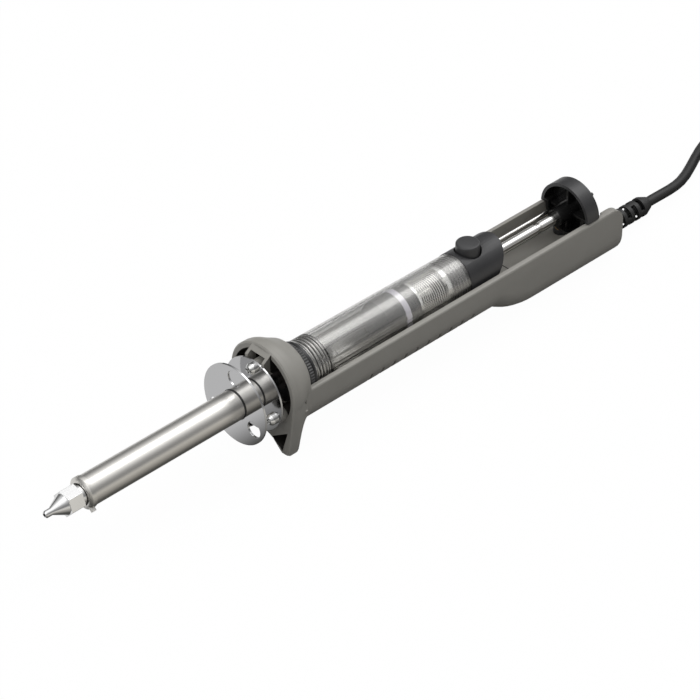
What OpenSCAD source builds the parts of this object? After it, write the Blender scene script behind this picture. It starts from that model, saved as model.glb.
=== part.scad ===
// Desoldering iron: a heated suction nozzle on a steel barrel, with a spring pump in an open handle.
// X runs along the tool with the nozzle towards -X, +Z is up, and the tool lies on its feet and belly.
// Places along the tool are counted from the front face of the shield disc, heights from the pump axis.

/* [Nozzle and barrel] */
// Outside diameter of the heater barrel
barrel_d = 12.4; // [11.6:0.1:12.8]
// Wall of the heater barrel
barrel_wall = 0.8; // [0.6:0.1:1]
// Length of barrel in front of the shield disc
barrel_reach = 73.2; // [66:0.2:90]
// Length of the ring that closes the barrel
ring_len = 2.8; // [2.4:0.1:3.4]
// Outside diameter of that ring
ring_d = 13.1; // [12.9:0.1:13.8]
// Opening of that ring around the nozzle's neck
ring_bore_d = 9.2; // [8.9:0.1:9.6]
// Width across the flats of the nozzle's hexagon
hex_af = 9.2; // [8.4:0.1:10]
// Length of the hexagon
hex_len = 6.5; // [5:0.1:8]
// Length of the nozzle's cone
cone_len = 5.8; // [4.5:0.1:8]
// Length of the straight nozzle tip
tip_len = 3; // [2:0.1:5]
// Outside diameter of the nozzle tip
tip_d = 2.9; // [2.4:0.1:3.6]
// Suction hole in the nozzle
nozzle_bore_d = 1.4; // [0.8:0.1:1.8]
// Diameter of the nozzle's neck and shank
shank_d = 8.4; // [7.4:0.1:8.6]
// Length of shank inside the barrel
shank_len = 7; // [5:0.1:10]
// Outside diameter of the suction tube
suction_d = 4; // [3.6:0.1:4.6]
// Bore of the suction tube
suction_bore_d = 2.6; // [2:0.1:3]
// Outside diameter of the heating element
heater_d = 9.4; // [8.8:0.1:9.8]
// Length of the heating element
heater_len = 52; // [40:1:56]
// Length of the ceramic bush at the back of the barrel
bush_len = 6; // [4:0.5:8]

/* [Shield and flange] */
// Diameter of the shield disc
disc_d = 34; // [31:0.5:38]
// Thickness of the shield disc
disc_t = 0.9; // [0.8:0.1:1.4]
// Screwdriver holes in the shield disc
disc_hole_d = 6.8; // [5.8:0.1:7.2]
// Radius of the circle that the holes, screws and posts stand on
screw_ring_r = 12.1; // [11.4:0.1:12.2]
// Distance from the shield disc to the flange plate
plate_gap = 9.7; // [8:0.1:12]
// Diameter of the flange plate
plate_d = 30.8; // [29.8:0.1:31.2]
// Thickness of the flange plate
plate_t = 0.8; // [0.6:0.1:1.2]
// Head diameter of the flange screws
screw_head_d = 4.7; // [4.2:0.1:5.2]
// Head height of the flange screws
screw_head_h = 2.4; // [1.8:0.1:2.6]
// Thread diameter of the flange screws
screw_d = 2.5; // [2:0.1:2.8]
// Length of the flange screws under the head
screw_len = 8; // [6:0.5:11]

/* [Handle] */
// Outside width of the handle
handle_w = 26.6; // [26:0.2:28]
// Wall of the handle
handle_wall = 2.1; // [1.8:0.1:2.4]
// Radius of the handle's lower corners
corner_r = 11; // [9.5:0.5:12]
// Depth of the grip below the pump axis
grip_depth = 18.4; // [17.8:0.2:19]
// Depth of the belly, and of the feet, below the pump axis
belly_depth = 25.5; // [24.5:0.5:27]
// Place of the guard's front rim
guard_x = 14.2; // [13.4:0.2:15]
// Length of the guard from its rim to the trough
guard_len = 13; // [12.6:0.1:14]
// Radius of the guard's arch
arch_r = 17.6; // [17.2:0.1:18.4]
// Height of the arch's centre above the pump axis
arch_lift = 2.1; // [1.6:0.1:2.4]
// Wall of the guard at its rim
guard_wall = 2; // [1.6:0.1:2.2]
// Depth of the guard's front recess
recess_depth = 9.3; // [8.4:0.1:9.8]
// Distance of each foot from the middle
foot_y = 11.8; // [11:0.2:12.4]
// Height of the arch between the feet
foot_arch_h = 6; // [5:0.2:6.6]
// Place where the belly starts
belly_x = 130.5; // [126:0.5:134]
// Length over which the belly swells
belly_run = 21.5; // [18:0.5:24]
// Place of the tail end
tail_x = 201.6; // [198:0.2:206]
// Radius of the upper tail corners
tail_r = 7; // [5:0.5:9]
// Height of the tail wall below the pump axis
tail_wall_z = 13; // [12.6:0.2:14]
// Number of finger grooves under the grip
groove_n = 10; // [6:1:12]
// Distance between finger grooves
groove_pitch = 6.2; // [5:0.1:6.6]
// Depth of a finger groove
groove_depth = 0.8; // [0.5:0.1:0.9]

/* [Pump] */
// Outside diameter of the clear cylinder at the front
tube_d1 = 20.8; // [20.4:0.1:21.2]
// Outside diameter of the clear cylinder at the back
tube_d2 = 19.6; // [19.2:0.1:20]
// Bore of the clear cylinder
bore_d = 17.2; // [16.8:0.1:17.6]
// Place of the front end of the clear cylinder
tube_x = 27.5; // [27:0.1:28]
// Length of the clear cylinder
tube_len = 89.7; // [86:0.1:92]
// Outside diameter of the black front ring
front_d = 22; // [21.9:0.1:22.2]
// Length of the front ring over the cylinder
front_lap = 5.4; // [4:0.1:6]
// Length of the piston
piston_len = 17.5; // [15:0.5:19]
// Thickness of the rear spring seat
seat_rear_t = 2.3; // [1.8:0.1:2.6]
// Width of the piston seal
seal_w = 2.6; // [2:0.1:3]
// Diameter of the plunger rod
rod_d = 4.2; // [3.8:0.1:4.4]
// Diameter of the guide rod
guide_d = 1.4; // [1:0.1:1.5]
// Distance of the guide rod from the pump axis
guide_y = 5.1; // [5:0.1:5.3]
// Travel of the plunger
stroke = 40; // [34:0.5:40]
// Wire of the drive spring
spring_wire_d = 0.5; // [0.4:0.05:0.55]
// Diameter of the drive spring at the middle of its wire
spring_d = 14; // [13.4:0.1:14.4]
// Turns of the drive spring
spring_turns = 14; // [8:1:14]
// Length of the drive spring at rest
spring_len = 14; // [13.8:0.1:15]

/* [End cap and button] */
// Outside diameter of the end cap
cap_d = 20; // [19.8:0.1:20.4]
// Length of the end cap behind the cylinder
cap_len = 22; // [21:0.2:24]
// Slant of the cap's back end
cap_slant = 31; // [26:1:33]
// Gap round the button
button_gap = 0.7; // [0.4:0.1:0.8]
// Diameter of the release button
button_d = 9.8; // [9:0.1:10]
// Height of the button's top above the pump axis
button_top = 13; // [12.4:0.1:13.5]
// Distance of the button from the front of the cap
button_set = 7.4; // [6.6:0.1:8]
// Travel of the button
button_travel = 1.5; // [1:0.1:1.5]
// Thickness of the latch plate
latch_t = 1.6; // [1.2:0.1:1.8]
// Width of the latch plate
latch_w = 7.6; // [7.2:0.1:7.8]

/* [Push knob] */
// Radius of the knob above the handle's rim
knob_r = 12.9; // [12.4:0.1:13.4]
// Radius of the knob inside the handle
knob_low_r = 10.3; // [9.8:0.1:10.5]
// Place of the knob's front edge
knob_x = 180.6; // [180:0.1:183]
// Length of the knob
knob_len = 6.8; // [6.4:0.1:8]
// Wall of the knob
knob_wall = 1.4; // [1.2:0.1:1.8]
// Gap between the knob and the handle's rim
knob_gap = 0.3; // [0.3:0.05:0.6]
// Diameter of the knob's hub
hub_d = 7.2; // [6.6:0.1:7.6]
// Length of the hub in front of the knob
hub_reach = 5.6; // [5:0.1:6.2]

/* [Cable] */
// Diameter of the mains lead
cord_d = 4.4; // [4.2:0.1:4.4]
// Depth of the lead's axis below the pump axis
cord_drop = 19.8; // [19.6:0.1:20]
// Length of the strain relief behind the tail
relief_len = 30; // [26:0.5:36]
// Outside diameter of the strain relief
relief_d = 8.4; // [8:0.1:8.8]
// Slots along the strain relief
relief_slots = 6; // [4:1:7]
// Diameter of an inner lead wire
wire_d = 1.6; // [1.2:0.1:1.7]

/* [Plug] */
// Width of the plug body at its pins
plug_w = 35; // [33:0.5:37]
// Thickness of the plug body
plug_t = 14; // [13.4:0.2:15]
// Length of the plug body
plug_len = 36; // [32:0.5:40]
// Diameter of a plug pin
pin_d = 4; // [3.8:0.1:4.2]
// Length of a plug pin
pin_len = 19; // [18:0.5:20]
// Distance between the plug pins
pin_gap = 18.6; // [17.6:0.2:19]

/* [Hidden] */
$fn = 64;

// Overrun of every cut
cut = 0.5;
// Clearance of a fixed fit
fit = 0.05;
// Clearance of a running fit
run = 0.08;
// Clearance of a loose fit
loose = 0.2;
// Height of the pump axis above the surface that the tool lies on
rest_h = belly_depth;
// Number of screws that hold the flange
screw_n = 3;

// Places along the barrel
hex_gap = 1.6;
heater_gap = 1;
suction_lap = 4;
front_base = 3;
front_x = tube_x - front_base;
ring_x = -barrel_reach - ring_len;
hex_x = ring_x - hex_gap - hex_len;
cone_x = hex_x - cone_len;
tip_x = cone_x - tip_len;
plate_x = plate_gap;
plate_back = plate_x + plate_t;
recess_x = guard_x + recess_depth;
guard_end = guard_x + guard_len;
relief_end = tail_x + relief_len;
mid_x = (tip_x + relief_end) / 2;
heater_x = -barrel_reach + shank_len + heater_gap;
suction_front = -barrel_reach + shank_len - suction_lap;
suction_back = front_x + front_base - fit;

// Places along the pump
tube_end = tube_x + tube_len;
cap_end = tube_end + cap_len;
spigot_len = 8.7;
spigot_x = tube_end - spigot_len;
seat_t = 1.2;
piston_x = spigot_x - seat_rear_t - spring_len - seat_t - piston_len;
seat_front_x = piston_x + piston_len;
spring_x = seat_front_x + seat_t;
seat_rear_x = spring_x + spring_len;
button_x = tube_end + button_set;
button_base = 5.8;
latch_foot = -5.6;
catch_x = button_x + stroke;
knob_end = knob_x + knob_len;
hub_x = knob_x - hub_reach;
axis_z = 0;

// Places in the handle
half_w = handle_w / 2;
rim_r = 0.9;
floor_top = 12;
cover_top = 14.6;
floor_t = 1.5;
bed_w = 16;
bed_end = 152;
bed_wide_x = belly_x + belly_run / 3;
seam = 0.7;
cover_end = tail_x - 11;
inner_end = cover_end + loose;
inner_w = handle_w - 2 * handle_wall;
bed_end_w = inner_w - 2 * loose;
cover_low_w = inner_w - 1;
cover_screw_x = knob_x + 5;
cover_screw_y = 6;
clamp_x = cover_screw_x - 12;
clamp_len = 5.6;
clamp_w = 15;
clamp_screw_y = 5;
clamp_screw_d = 1.8;
cover_screw_d = 2.2;
notch_w = inner_w - 2;
flange_t = 2.8;
flange_d = 11;
relief_x = tail_x - 8;

// Moves the tool so that it stands on z = 0 with its middle at the origin
module place() { translate([-mid_x, 0, rest_h]) children(); }
// A shaft along X from one place to another
module shaft(x0, x1, d) { translate([x0, 0, 0]) rotate([0, 90, 0]) cylinder(d = d, h = x1 - x0); }
// A tapered shaft along X
module taper(x0, x1, d0, d1) { translate([x0, 0, 0]) rotate([0, 90, 0]) cylinder(d1 = d0, d2 = d1, h = x1 - x0); }
// A ring along X
module ring(x0, x1, outer, inner) {
    difference() {
        shaft(x0, x1, outer);
        shaft(x0 - cut, x1 + cut, inner);
    }
}
// Copies at the screws of the flange
module at_screws(r = screw_ring_r) {
    for (i = [0 : screw_n - 1]) rotate([360 / screw_n * i, 0, 0]) translate([0, 0, r]) children();
}

// Sweeps a round section along a path, with flat ends
function unit(v) = v / norm(v);
function heading(p, i) = unit(p[min(i + 1, len(p) - 1)] - p[max(i - 1, 0)]);
function swept_ring(c, t, up, r, n) =
    let (side = unit(cross(up, t)), top = cross(t, side))
    [for (k = [0 : n - 1]) c + r * (cos(360 * k / n) * side + sin(360 * k / n) * top)];
function sweep_points(p, r, n, up) = [for (i = [0 : len(p) - 1]) each swept_ring(p[i], heading(p, i), up, r, n)];
function sweep_faces(m, n) = concat(
    [[for (k = [n - 1 : -1 : 0]) k]],
    [for (i = [0 : m - 2]) for (k = [0 : n - 1]) let (a = i * n + k, b = i * n + (k + 1) % n)
        each [[a, b, b + n], [a, b + n, a + n]]],
    [[for (k = [0 : n - 1]) (m - 1) * n + k]]);
module sweep(p, r, n, up = [0, 0, 1]) {
    polyhedron(points = sweep_points(p, r, n, up), faces = sweep_faces(len(p), n), convexity = 8);
}
// Least distance between the turns of a coil whose turns are n points apart, less the wire
function least(v, i = 0, m = 1e9) = i >= len(v) ? m : least(v, i + 1, min(m, v[i]));
function coil_gap(p, n, d) = least([for (i = [0 : 2 : len(p) - 1]) for (j = [i + round(n / 2) : 1 : len(p) - 1])
    norm(p[i] - p[j])]) - d;

// Joins equal sections into one body
module loft(sections) {
    n = len(sections[0]);
    polyhedron(points = [for (s = sections) each s], faces = sweep_faces(len(sections), n), convexity = 8);
}

// Half outline of the handle at one depth, as a closed section: rim, side, corner and bottom
arc_steps = 8;
rim_steps = 2;
function u_half(w, depth, c, rim) = concat(
    rim > 0 ? [for (k = [0 : rim_steps]) let (a = 90 - 90 * k / rim_steps) [w - rim + rim * cos(a), -rim + rim * sin(a)]]
            : [[w, 0]],
    [for (k = [0 : arc_steps]) let (a = -90 * k / arc_steps) [w - c + c * cos(a), -depth + c + c * sin(a)]]);
function u_outline(w, depth, c, rim) = let (h = u_half(w, depth, c, rim))
    concat(h, [for (k = [len(h) - 1 : -1 : 0]) [-h[k][0], h[k][1]]]);
function u_section(x, w, depth, c, rim) = [for (q = u_outline(w, depth, c, rim)) [x, q[0], q[1]]];
// Depth of the handle along the belly's swell, which is an arc tangent to the belly's floor
swell = belly_depth - grip_depth;
swell_r = (pow(belly_run, 2) + pow(swell, 2)) / (2 * swell);
function depth_at(x) = x <= belly_x ? grip_depth
    : x >= belly_x + belly_run ? belly_depth
    : belly_depth - swell_r + sqrt(pow(swell_r, 2) - pow(belly_x + belly_run - x, 2));
swell_steps = 7;
function trough_stations(x0, x1) = concat([x0], [for (k = [0 : swell_steps]) belly_x + belly_run * k / swell_steps], [x1]);

// Guard outline as a radius at an angle from straight up
side_a = 98;
foot_r = 2.4;
arch_cut_r = (pow(foot_y - foot_r, 2) + pow(foot_arch_h, 2)) / (2 * foot_arch_h);
arch_cut_z = belly_depth - foot_arch_h + arch_cut_r;
arch_side = arch_r * sin(side_a);
arch_side_z = arch_lift + arch_r * cos(side_a);
foot_side = foot_y + foot_r;
side_run = belly_depth + arch_side_z;
function arch_at(a) = arch_lift * cos(a) + sqrt(pow(arch_r, 2) - pow(arch_lift * sin(a), 2));
function side_at(a) = (arch_side * side_run + arch_side_z * (foot_side - arch_side))
    / (side_run * sin(a) + (foot_side - arch_side) * cos(a));
function ground_at(a) = belly_depth / max(-cos(a), 0.01);
function foot_arch_at(a) = let (c = -cos(a), k = pow(arch_cut_r, 2) - pow(arch_cut_z * sin(a), 2))
    (c > 0 && k > 0) ? arch_cut_z * c - sqrt(k) : 1e9;
function guard_r(a) = a < side_a ? arch_at(a) : min(side_at(a), ground_at(a), foot_arch_at(a));
// Outline of the guard's back end: a collar round the pump above, the grip below
collar_r = front_d / 2 + 1;
function corner_at(a) = let (cy = half_w - corner_r, cz = grip_depth - corner_r, s = sin(a), c = -cos(a),
    m = cy * s + cz * c) m + sqrt(pow(corner_r, 2) - pow(cy * c - cz * s, 2));
function grip_r(a) = a <= 90 ? collar_r + (half_w - collar_r) * pow(a / 90, 3)
    : -cos(a) * half_w <= sin(a) * (grip_depth - corner_r) ? half_w / sin(a)
    : sin(a) * grip_depth <= -cos(a) * (half_w - corner_r) ? grip_depth / -cos(a)
    : corner_at(a);
function ease(t) = let (u = min(max(t, 0), 1)) u * u * (3 - 2 * u);
// The feet run back into the grip sooner than the arch does
shoulder_share = 0.15;
foot_share = 0.3;
foot_end_share = 1;
guard_steps = 12;
guard_sides = 96;
function guard_blend(a, s) = let (low = ease((a - 90) / 60),
    s0 = shoulder_share + (foot_share - shoulder_share) * low, s1 = 1 + (foot_end_share - 1) * low)
    ease((s - s0) / (s1 - s0));
rim_chamfer = 0.6;
function guard_section(s, inset) = [for (k = [0 : guard_sides - 1]) let (
    a = abs(360 * k / guard_sides > 180 ? 360 - 360 * k / guard_sides : 360 * k / guard_sides),
    b = guard_blend(a, s), r = guard_r(a) * (1 - b) + grip_r(a) * b - inset, t = -360 * k / guard_sides)
    [guard_x + guard_len * s, r * sin(-t), r * cos(t)]];

// Hot end

module hexagon(x0, x1, af) {
    translate([x0, 0, 0]) rotate([0, 90, 0]) rotate([0, 0, hex_turn]) cylinder(d = af / cos(30), h = x1 - x0, $fn = 6);
}
// The hexagon stops with a corner towards the photographed side
hex_turn = -18;
module nozzle() {
    cone_base = hex_af * nozzle_base_share;
    color("silver") place() difference() {
        union() {
            translate([tip_x, 0, 0]) rotate([0, 90, 0]) rotate_extrude()
                polygon([[0, 0], [tip_d / 2 - tip_round, 0], [tip_d / 2, tip_round], [tip_d / 2, tip_len],
                         [cone_base / 2, tip_len + cone_len], [0, tip_len + cone_len]]);
            hexagon(hex_x, hex_x + hex_len, hex_af);
            shaft(hex_x + hex_len, -barrel_reach + shank_len, shank_d);
        }
        shaft(tip_x - cut, suction_front + fit, nozzle_bore_d);
        shaft(suction_front, -barrel_reach + shank_len + cut, suction_d + 2 * fit);
    }
}
nozzle_base_share = 0.94;
tip_round = 0.5;

lug_h = 1.3;
lug_d = 2.2;
// The set screw faces down on the photographed side
lug_turn = 133;
set_screw_d = 1.6;
module lug(d, z0, z1) {
    rotate([lug_turn, 0, 0]) translate([ring_x + ring_len / 2, 0, z0]) cylinder(d = d, h = z1 - z0);
}
module barrel_ring() {
    color("silver") place() difference() {
        union() {
            translate([ring_x, 0, 0]) rotate([0, 90, 0]) rotate_extrude()
                polygon([[0, 0], [ring_bore_d / 2 + ring_lip, 0], [ring_d / 2, ring_len / 3], [ring_d / 2, ring_len], [0, ring_len]]);
            lug(lug_d, ring_bore_d / 2 + ring_lip, ring_d / 2 + lug_h);
        }
        shaft(ring_x - cut, -barrel_reach + cut, ring_bore_d);
        lug(set_screw_d + 2 * fit, 0, ring_d / 2 + lug_h + cut);
    }
}
ring_lip = 0.6;
module nozzle_set_screw() {
    color("dimgray") place() lug(set_screw_d, shank_d / 2, ring_d / 2 + lug_h - ring_lip);
}
module heater_barrel() {
    color("gainsboro") place() ring(-barrel_reach, plate_back, barrel_d, barrel_d - 2 * barrel_wall);
}
module heating_element() {
    color("ivory") place() ring(heater_x, heater_x + heater_len, heater_d, suction_d + 2 * fit);
}
module suction_tube() {
    color("silver") place() ring(suction_front + fit, suction_back, suction_d, suction_bore_d);
}
module ceramic_bush() {
    color("white") place() difference() {
        ring(plate_back - bush_len, plate_back, barrel_d - 2 * barrel_wall - 2 * fit, suction_d + 2 * fit);
        for (s = [-1, 1]) translate([0, s * wire_y, 0]) shaft(plate_back - bush_len - cut, plate_back + cut, wire_d + 2 * fit);
    }
}
wire_y = (suction_d / 2 + barrel_d / 2 - barrel_wall) / 2;
module shield_disc() {
    color("silver") place() difference() {
        ring(0, disc_t, disc_d, barrel_d + 2 * fit);
        at_screws() shaft(-cut, disc_t + cut, disc_hole_d);
    }
}
module flange_plate() {
    color("silver") place() difference() {
        ring(plate_x, plate_back, plate_d, barrel_d + 2 * fit);
        at_screws() shaft(plate_x - cut, plate_back + cut, screw_d + 2 * loose);
    }
}
screw_slot_w = 0.7;
module flange_screws() {
    color("silver") place() at_screws() difference() {
        union() {
            translate([plate_x, 0, 0]) rotate([0, -90, 0]) rotate_extrude()
                polygon([[0, 0], [screw_head_d / 2, 0], [screw_head_d / 2, screw_head_h / 2],
                         [screw_head_d / 3, screw_head_h], [0, screw_head_h]]);
            shaft(plate_x, plate_x + screw_len, screw_d);
        }
        for (t = [0, 90]) rotate([t, 0, 0]) translate([plate_x - screw_head_h - cut, -screw_head_d / 3, -screw_slot_w / 2])
            cube([screw_head_h / 2 + cut, screw_head_d / 3 * 2, screw_slot_w]);
    }
}

// Handle

post_d = 5.4;
rib_t = 1.3;
rib_y = 4.5;
web_z = (screw_ring_r + post_d * 0.7 + arch_r + arch_lift - guard_wall * 0.6) / 2;
module guard_body() {
    loft(concat([guard_section(0, rim_chamfer)],
        [for (k = [0 : guard_steps]) guard_section(k == 0 ? rim_chamfer / guard_len : k / guard_steps, 0)]));
}
module guard_recess() {
    translate([0, 0, arch_lift - guard_wall / 4]) shaft(guard_x - cut, recess_x, 2 * (arch_r - guard_wall));
}
// One pocket in the front of each foot
pocket_depth = 5.4;
module foot_pockets() {
    for (s = [-1, 1]) scale([1, s, 1]) translate([guard_x - cut, 0, 0]) rotate([90, 0, 90])
        linear_extrude(pocket_depth + cut) polygon([[foot_y * 0.4, -belly_depth * 0.79],
            [foot_y * 1.16, -belly_depth * 0.55], [foot_y * 0.9, -belly_depth * 0.96]]);
}
module screw_posts() {
    at_screws() shaft(plate_back, recess_x + cut, post_d);
    // Two ribs hold the upper post to the arch
    for (s = [-1, 1]) translate([0, s * rib_y + rib_t / 2, 0]) rotate([90, 0, 0]) linear_extrude(rib_t)
        polygon([[plate_back, screw_ring_r - post_d / 2], [plate_back, screw_ring_r + post_d * 0.7],
                 [guard_x, arch_r + arch_lift - guard_wall * 0.6], [guard_x + guard_wall, arch_r + arch_lift - guard_wall * 0.6],
                 [recess_x + cut, arch_r + arch_lift - guard_wall * 1.6],
                 [recess_x + cut, screw_ring_r - post_d / 2]]);
    // A web joins the ribs near the arch
    translate([0, rib_y, 0]) rotate([90, 0, 0]) linear_extrude(2 * rib_y)
        polygon([[(plate_back + guard_x) / 2, web_z], [guard_x, arch_r + arch_lift - guard_wall * 0.6],
                 [recess_x + cut, arch_r + arch_lift - guard_wall * 0.6], [recess_x + cut, web_z]]);
    // One rib holds each lower post
    for (i = [1, 2]) rotate([120 * i, 0, 0]) translate([guard_x + rib_t, -rib_t / 2, screw_ring_r])
        cube([recess_depth - rib_t + cut, rib_t, arch_r - guard_wall / 2 - screw_ring_r]);
}
module trough_body() {
    loft([for (x = trough_stations(guard_end - rim_chamfer, tail_x)) u_section(x, half_w, depth_at(x), corner_r, rim_r)]);
}
module trough_hollow() {
    translate([0, 0, cut]) loft([for (x = trough_stations(guard_end, inner_end))
        u_section(x, half_w - handle_wall, depth_at(x) - handle_wall + cut, corner_r - handle_wall, 0)]);
}
// Rounds an edge that runs across the handle
module edge_cut(x, z, r, up) {
    translate([x - r, half_w + cut, z - up * r]) rotate([90, 0, 0]) linear_extrude(handle_w + 2 * cut) difference() {
        translate([0, up > 0 ? 0 : -r - cut]) square([r + cut, r + cut]);
        circle(r);
    }
}
groove_w = 1.3;
groove_x = belly_x - groove_pitch * (groove_n + 1.5);
module finger_grooves() {
    for (i = [0 : groove_n - 1]) translate([groove_x + groove_pitch * i, 0, 0]) rotate([90, 0, 90])
        linear_extrude(groove_w) difference() {
            translate([-half_w - cut, -grip_depth - cut]) square([handle_w + 2 * cut, grip_depth - corner_r + 2 * cut]);
            polygon(u_outline(half_w - groove_depth, grip_depth - groove_depth, corner_r - groove_depth, 0));
        }
}
passage_h = 3.4;
module handle() {
    color([0.63, 0.62, 0.59]) place() difference() {
        union() {
            difference() {
                union() {
                    guard_body();
                    trough_body();
                }
                guard_recess();
                foot_pockets();
                trough_hollow();
                finger_grooves();
                edge_cut(tail_x, 0, tail_r, 1);
                edge_cut(tail_x, -belly_depth, rim_r * 3, -1);
                // The tail is open above its low wall
                translate([inner_end - cut, -notch_w / 2, -tail_wall_z]) cube([tail_x - inner_end + 2 * cut, notch_w, tail_wall_z + cut]);
                // The wires pass from the grip to the recess
                translate([recess_x - cut, -bed_w / 3, -grip_depth + handle_wall])
                    cube([guard_end - recess_x + 2 * cut, bed_w / 3 * 2, passage_h]);
            }
            screw_posts();
            for (s = [-1, 1]) translate([cover_screw_x, s * cover_screw_y, -belly_depth + handle_wall])
                cylinder(d = 2 * cover_screw_d, h = belly_depth - cover_top - floor_t - handle_wall);
        }
        at_screws() shaft(plate_back - cut, recess_x, screw_d - 2 * fit);
        shaft(recess_x - cut, guard_end + cut, front_d + 2 * fit);
        // Seat of the strain relief's flange and neck
        translate([0, 0, -cord_drop]) {
            shaft(inner_end - cut, tail_x + cut, relief_d + 2 * fit);
            shaft(relief_x - fit, relief_x + flange_t + fit, flange_d + 2 * fit);
        }
        for (s = [-1, 1]) {
            translate([cover_screw_x, s * cover_screw_y, -cover_top - cover_screw_len]) cylinder(d = cover_screw_d - 2 * fit, h = cover_screw_len);
            translate([clamp_x + clamp_len / 2, s * clamp_screw_y, -belly_depth + handle_wall / 2])
                cylinder(d = clamp_screw_d - 2 * fit, h = handle_wall);
        }
    }
}
// Saddles of the pump bed: place, and radius of what they carry
saddle_t = 4;
module saddle(x, r) {
    translate([x, 0, 0]) difference() {
        translate([0, -bed_w / 2 + loose, -floor_top - fit]) cube([saddle_t, bed_w - 2 * loose, floor_top / 3 + fit]);
        translate([-cut, 0, 0]) rotate([0, 90, 0]) cylinder(r = r, h = saddle_t + 2 * cut);
    }
}
function tube_r_at(x) = (tube_d1 + (tube_d2 - tube_d1) * (x - tube_x) / tube_len) / 2;
module floor_slab(x0, x1, w, top) { translate([x0, -w / 2, -top - floor_t]) cube([x1 - x0, w, floor_t]); }
saddle_x = tube_x + tube_len / 3;
module pump_bed() {
    color([0.6, 0.59, 0.56]) place() {
        floor_slab(guard_end + loose, bed_wide_x, bed_w, floor_top);
        floor_slab(bed_wide_x, bed_end, bed_end_w, floor_top);
        saddle(saddle_x, tube_r_at(saddle_x) + fit);
        saddle(tube_end + saddle_t / 3, cap_d / 2 + fit);
    }
}
module at_cover_screws() { for (s = [-1, 1]) translate([cover_screw_x, s * cover_screw_y, -cover_top]) children(); }
module cable_cover() {
    color([0.6, 0.59, 0.56]) place() difference() {
        floor_slab(bed_end + seam, cover_end, cover_low_w, cover_top);
        at_cover_screws() translate([0, 0, -floor_t - cut]) cylinder(d = cover_screw_d + loose, h = floor_t + 2 * cut);
    }
}
cup_d = 6.2;
cup_seat = 0.4;
cover_head_h = 1.1;
cup_h = 2.2;
cover_screw_len = 6;
module cover_cups() {
    color([0.08, 0.08, 0.08]) place() at_cover_screws() difference() {
        cylinder(d = cup_d, h = cup_h);
        translate([0, 0, cup_seat]) cylinder(d = screw_head_d + 2 * fit, h = cup_h);
        translate([0, 0, -cut]) cylinder(d = cover_screw_d + loose, h = cup_h + cut);
    }
}
module cover_screws() {
    color("goldenrod") place() at_cover_screws() translate([0, 0, cup_seat]) difference() {
        union() {
            cylinder(d = screw_head_d, h = cover_head_h);
            translate([0, 0, -cover_screw_len]) cylinder(d = cover_screw_d, h = cover_screw_len);
        }
        for (t = [0, 90]) rotate([0, 0, t]) translate([-screw_head_d / 3, -screw_slot_w / 2, cover_head_h / 2])
            cube([screw_head_d / 3 * 2, screw_slot_w, cup_h]);
    }
}
clamp_top = cord_drop - cord_d / 2 - 0.5;
// The clamp stands on the curve of the handle's lower corners
clamp_foot = belly_depth - handle_wall - 1.8;
module cord_clamp() {
    color([0.1, 0.1, 0.1]) place() difference() {
        translate([clamp_x, -clamp_w / 2, -clamp_foot]) cube([clamp_len, clamp_w, clamp_foot - clamp_top]);
        translate([0, 0, -cord_drop]) shaft(clamp_x - cut, clamp_x + clamp_len + cut, cord_d + 2 * fit);
        for (s = [-1, 1]) translate([clamp_x + clamp_len / 2, s * clamp_screw_y, -belly_depth])
            cylinder(d = clamp_screw_d + loose, h = belly_depth);
    }
}
module clamp_screws() {
    color("silver") place() for (s = [-1, 1]) translate([clamp_x + clamp_len / 2, s * clamp_screw_y, -clamp_top]) {
        cylinder(d = 2 * clamp_screw_d, h = clamp_screw_d / 2);
        translate([0, 0, -belly_depth + clamp_top + handle_wall / 2]) cylinder(d = clamp_screw_d, h = belly_depth - clamp_top - handle_wall / 2);
    }
}
// Two wires run under the pump bed, up through the recess and into the barrel
wire_z = grip_depth - handle_wall - wire_d / 2 - fit;
wire_side = 2;
module lead_wires() {
    route = [[clamp_x, wire_side / 2, -cord_drop], [clamp_x - cord_d, wire_side, -cord_drop], [belly_x + belly_run, wire_side, -cord_drop],
             [belly_x + belly_run / 2, wire_side, -cord_drop + cord_d / 2], [belly_x, wire_side, -wire_z], [groove_x, wire_side, -wire_z],
             [guard_end + wire_d, wire_side, -wire_z], [recess_x + wire_d * 1.5, wire_side, -wire_z + wire_d],
             [recess_x - wire_d, wire_side, -wire_z + wire_d * 1.6], [guard_x + wire_d, wire_side * 1.5, -wire_z * 0.6],
             [guard_x, wire_y, -wire_z * 0.3], [plate_back + wire_d, wire_y, -wire_d / 2],
             [plate_back, wire_y, 0], [plate_back - bush_len, wire_y, 0]];
    color("firebrick") place() for (s = [-1, 1]) scale([1, s, 1]) sweep(route, wire_d / 2, 8, [0, 1, 0]);
}

// Pump

module front_ring() {
    color([0.1, 0.1, 0.1]) place() difference() {
        shaft(front_x, tube_x + front_lap, front_d);
        shaft(tube_x, tube_x + front_lap + cut, tube_d1 + 2 * fit);
        shaft(front_x - cut, tube_x + cut, suction_d + 2 * fit);
    }
}
gasket_d = 8;
gasket_len = 2;
module nozzle_gasket() {
    color("orangered") place() ring(front_x - gasket_len, front_x, gasket_d, suction_d + 2 * fit);
}
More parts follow.
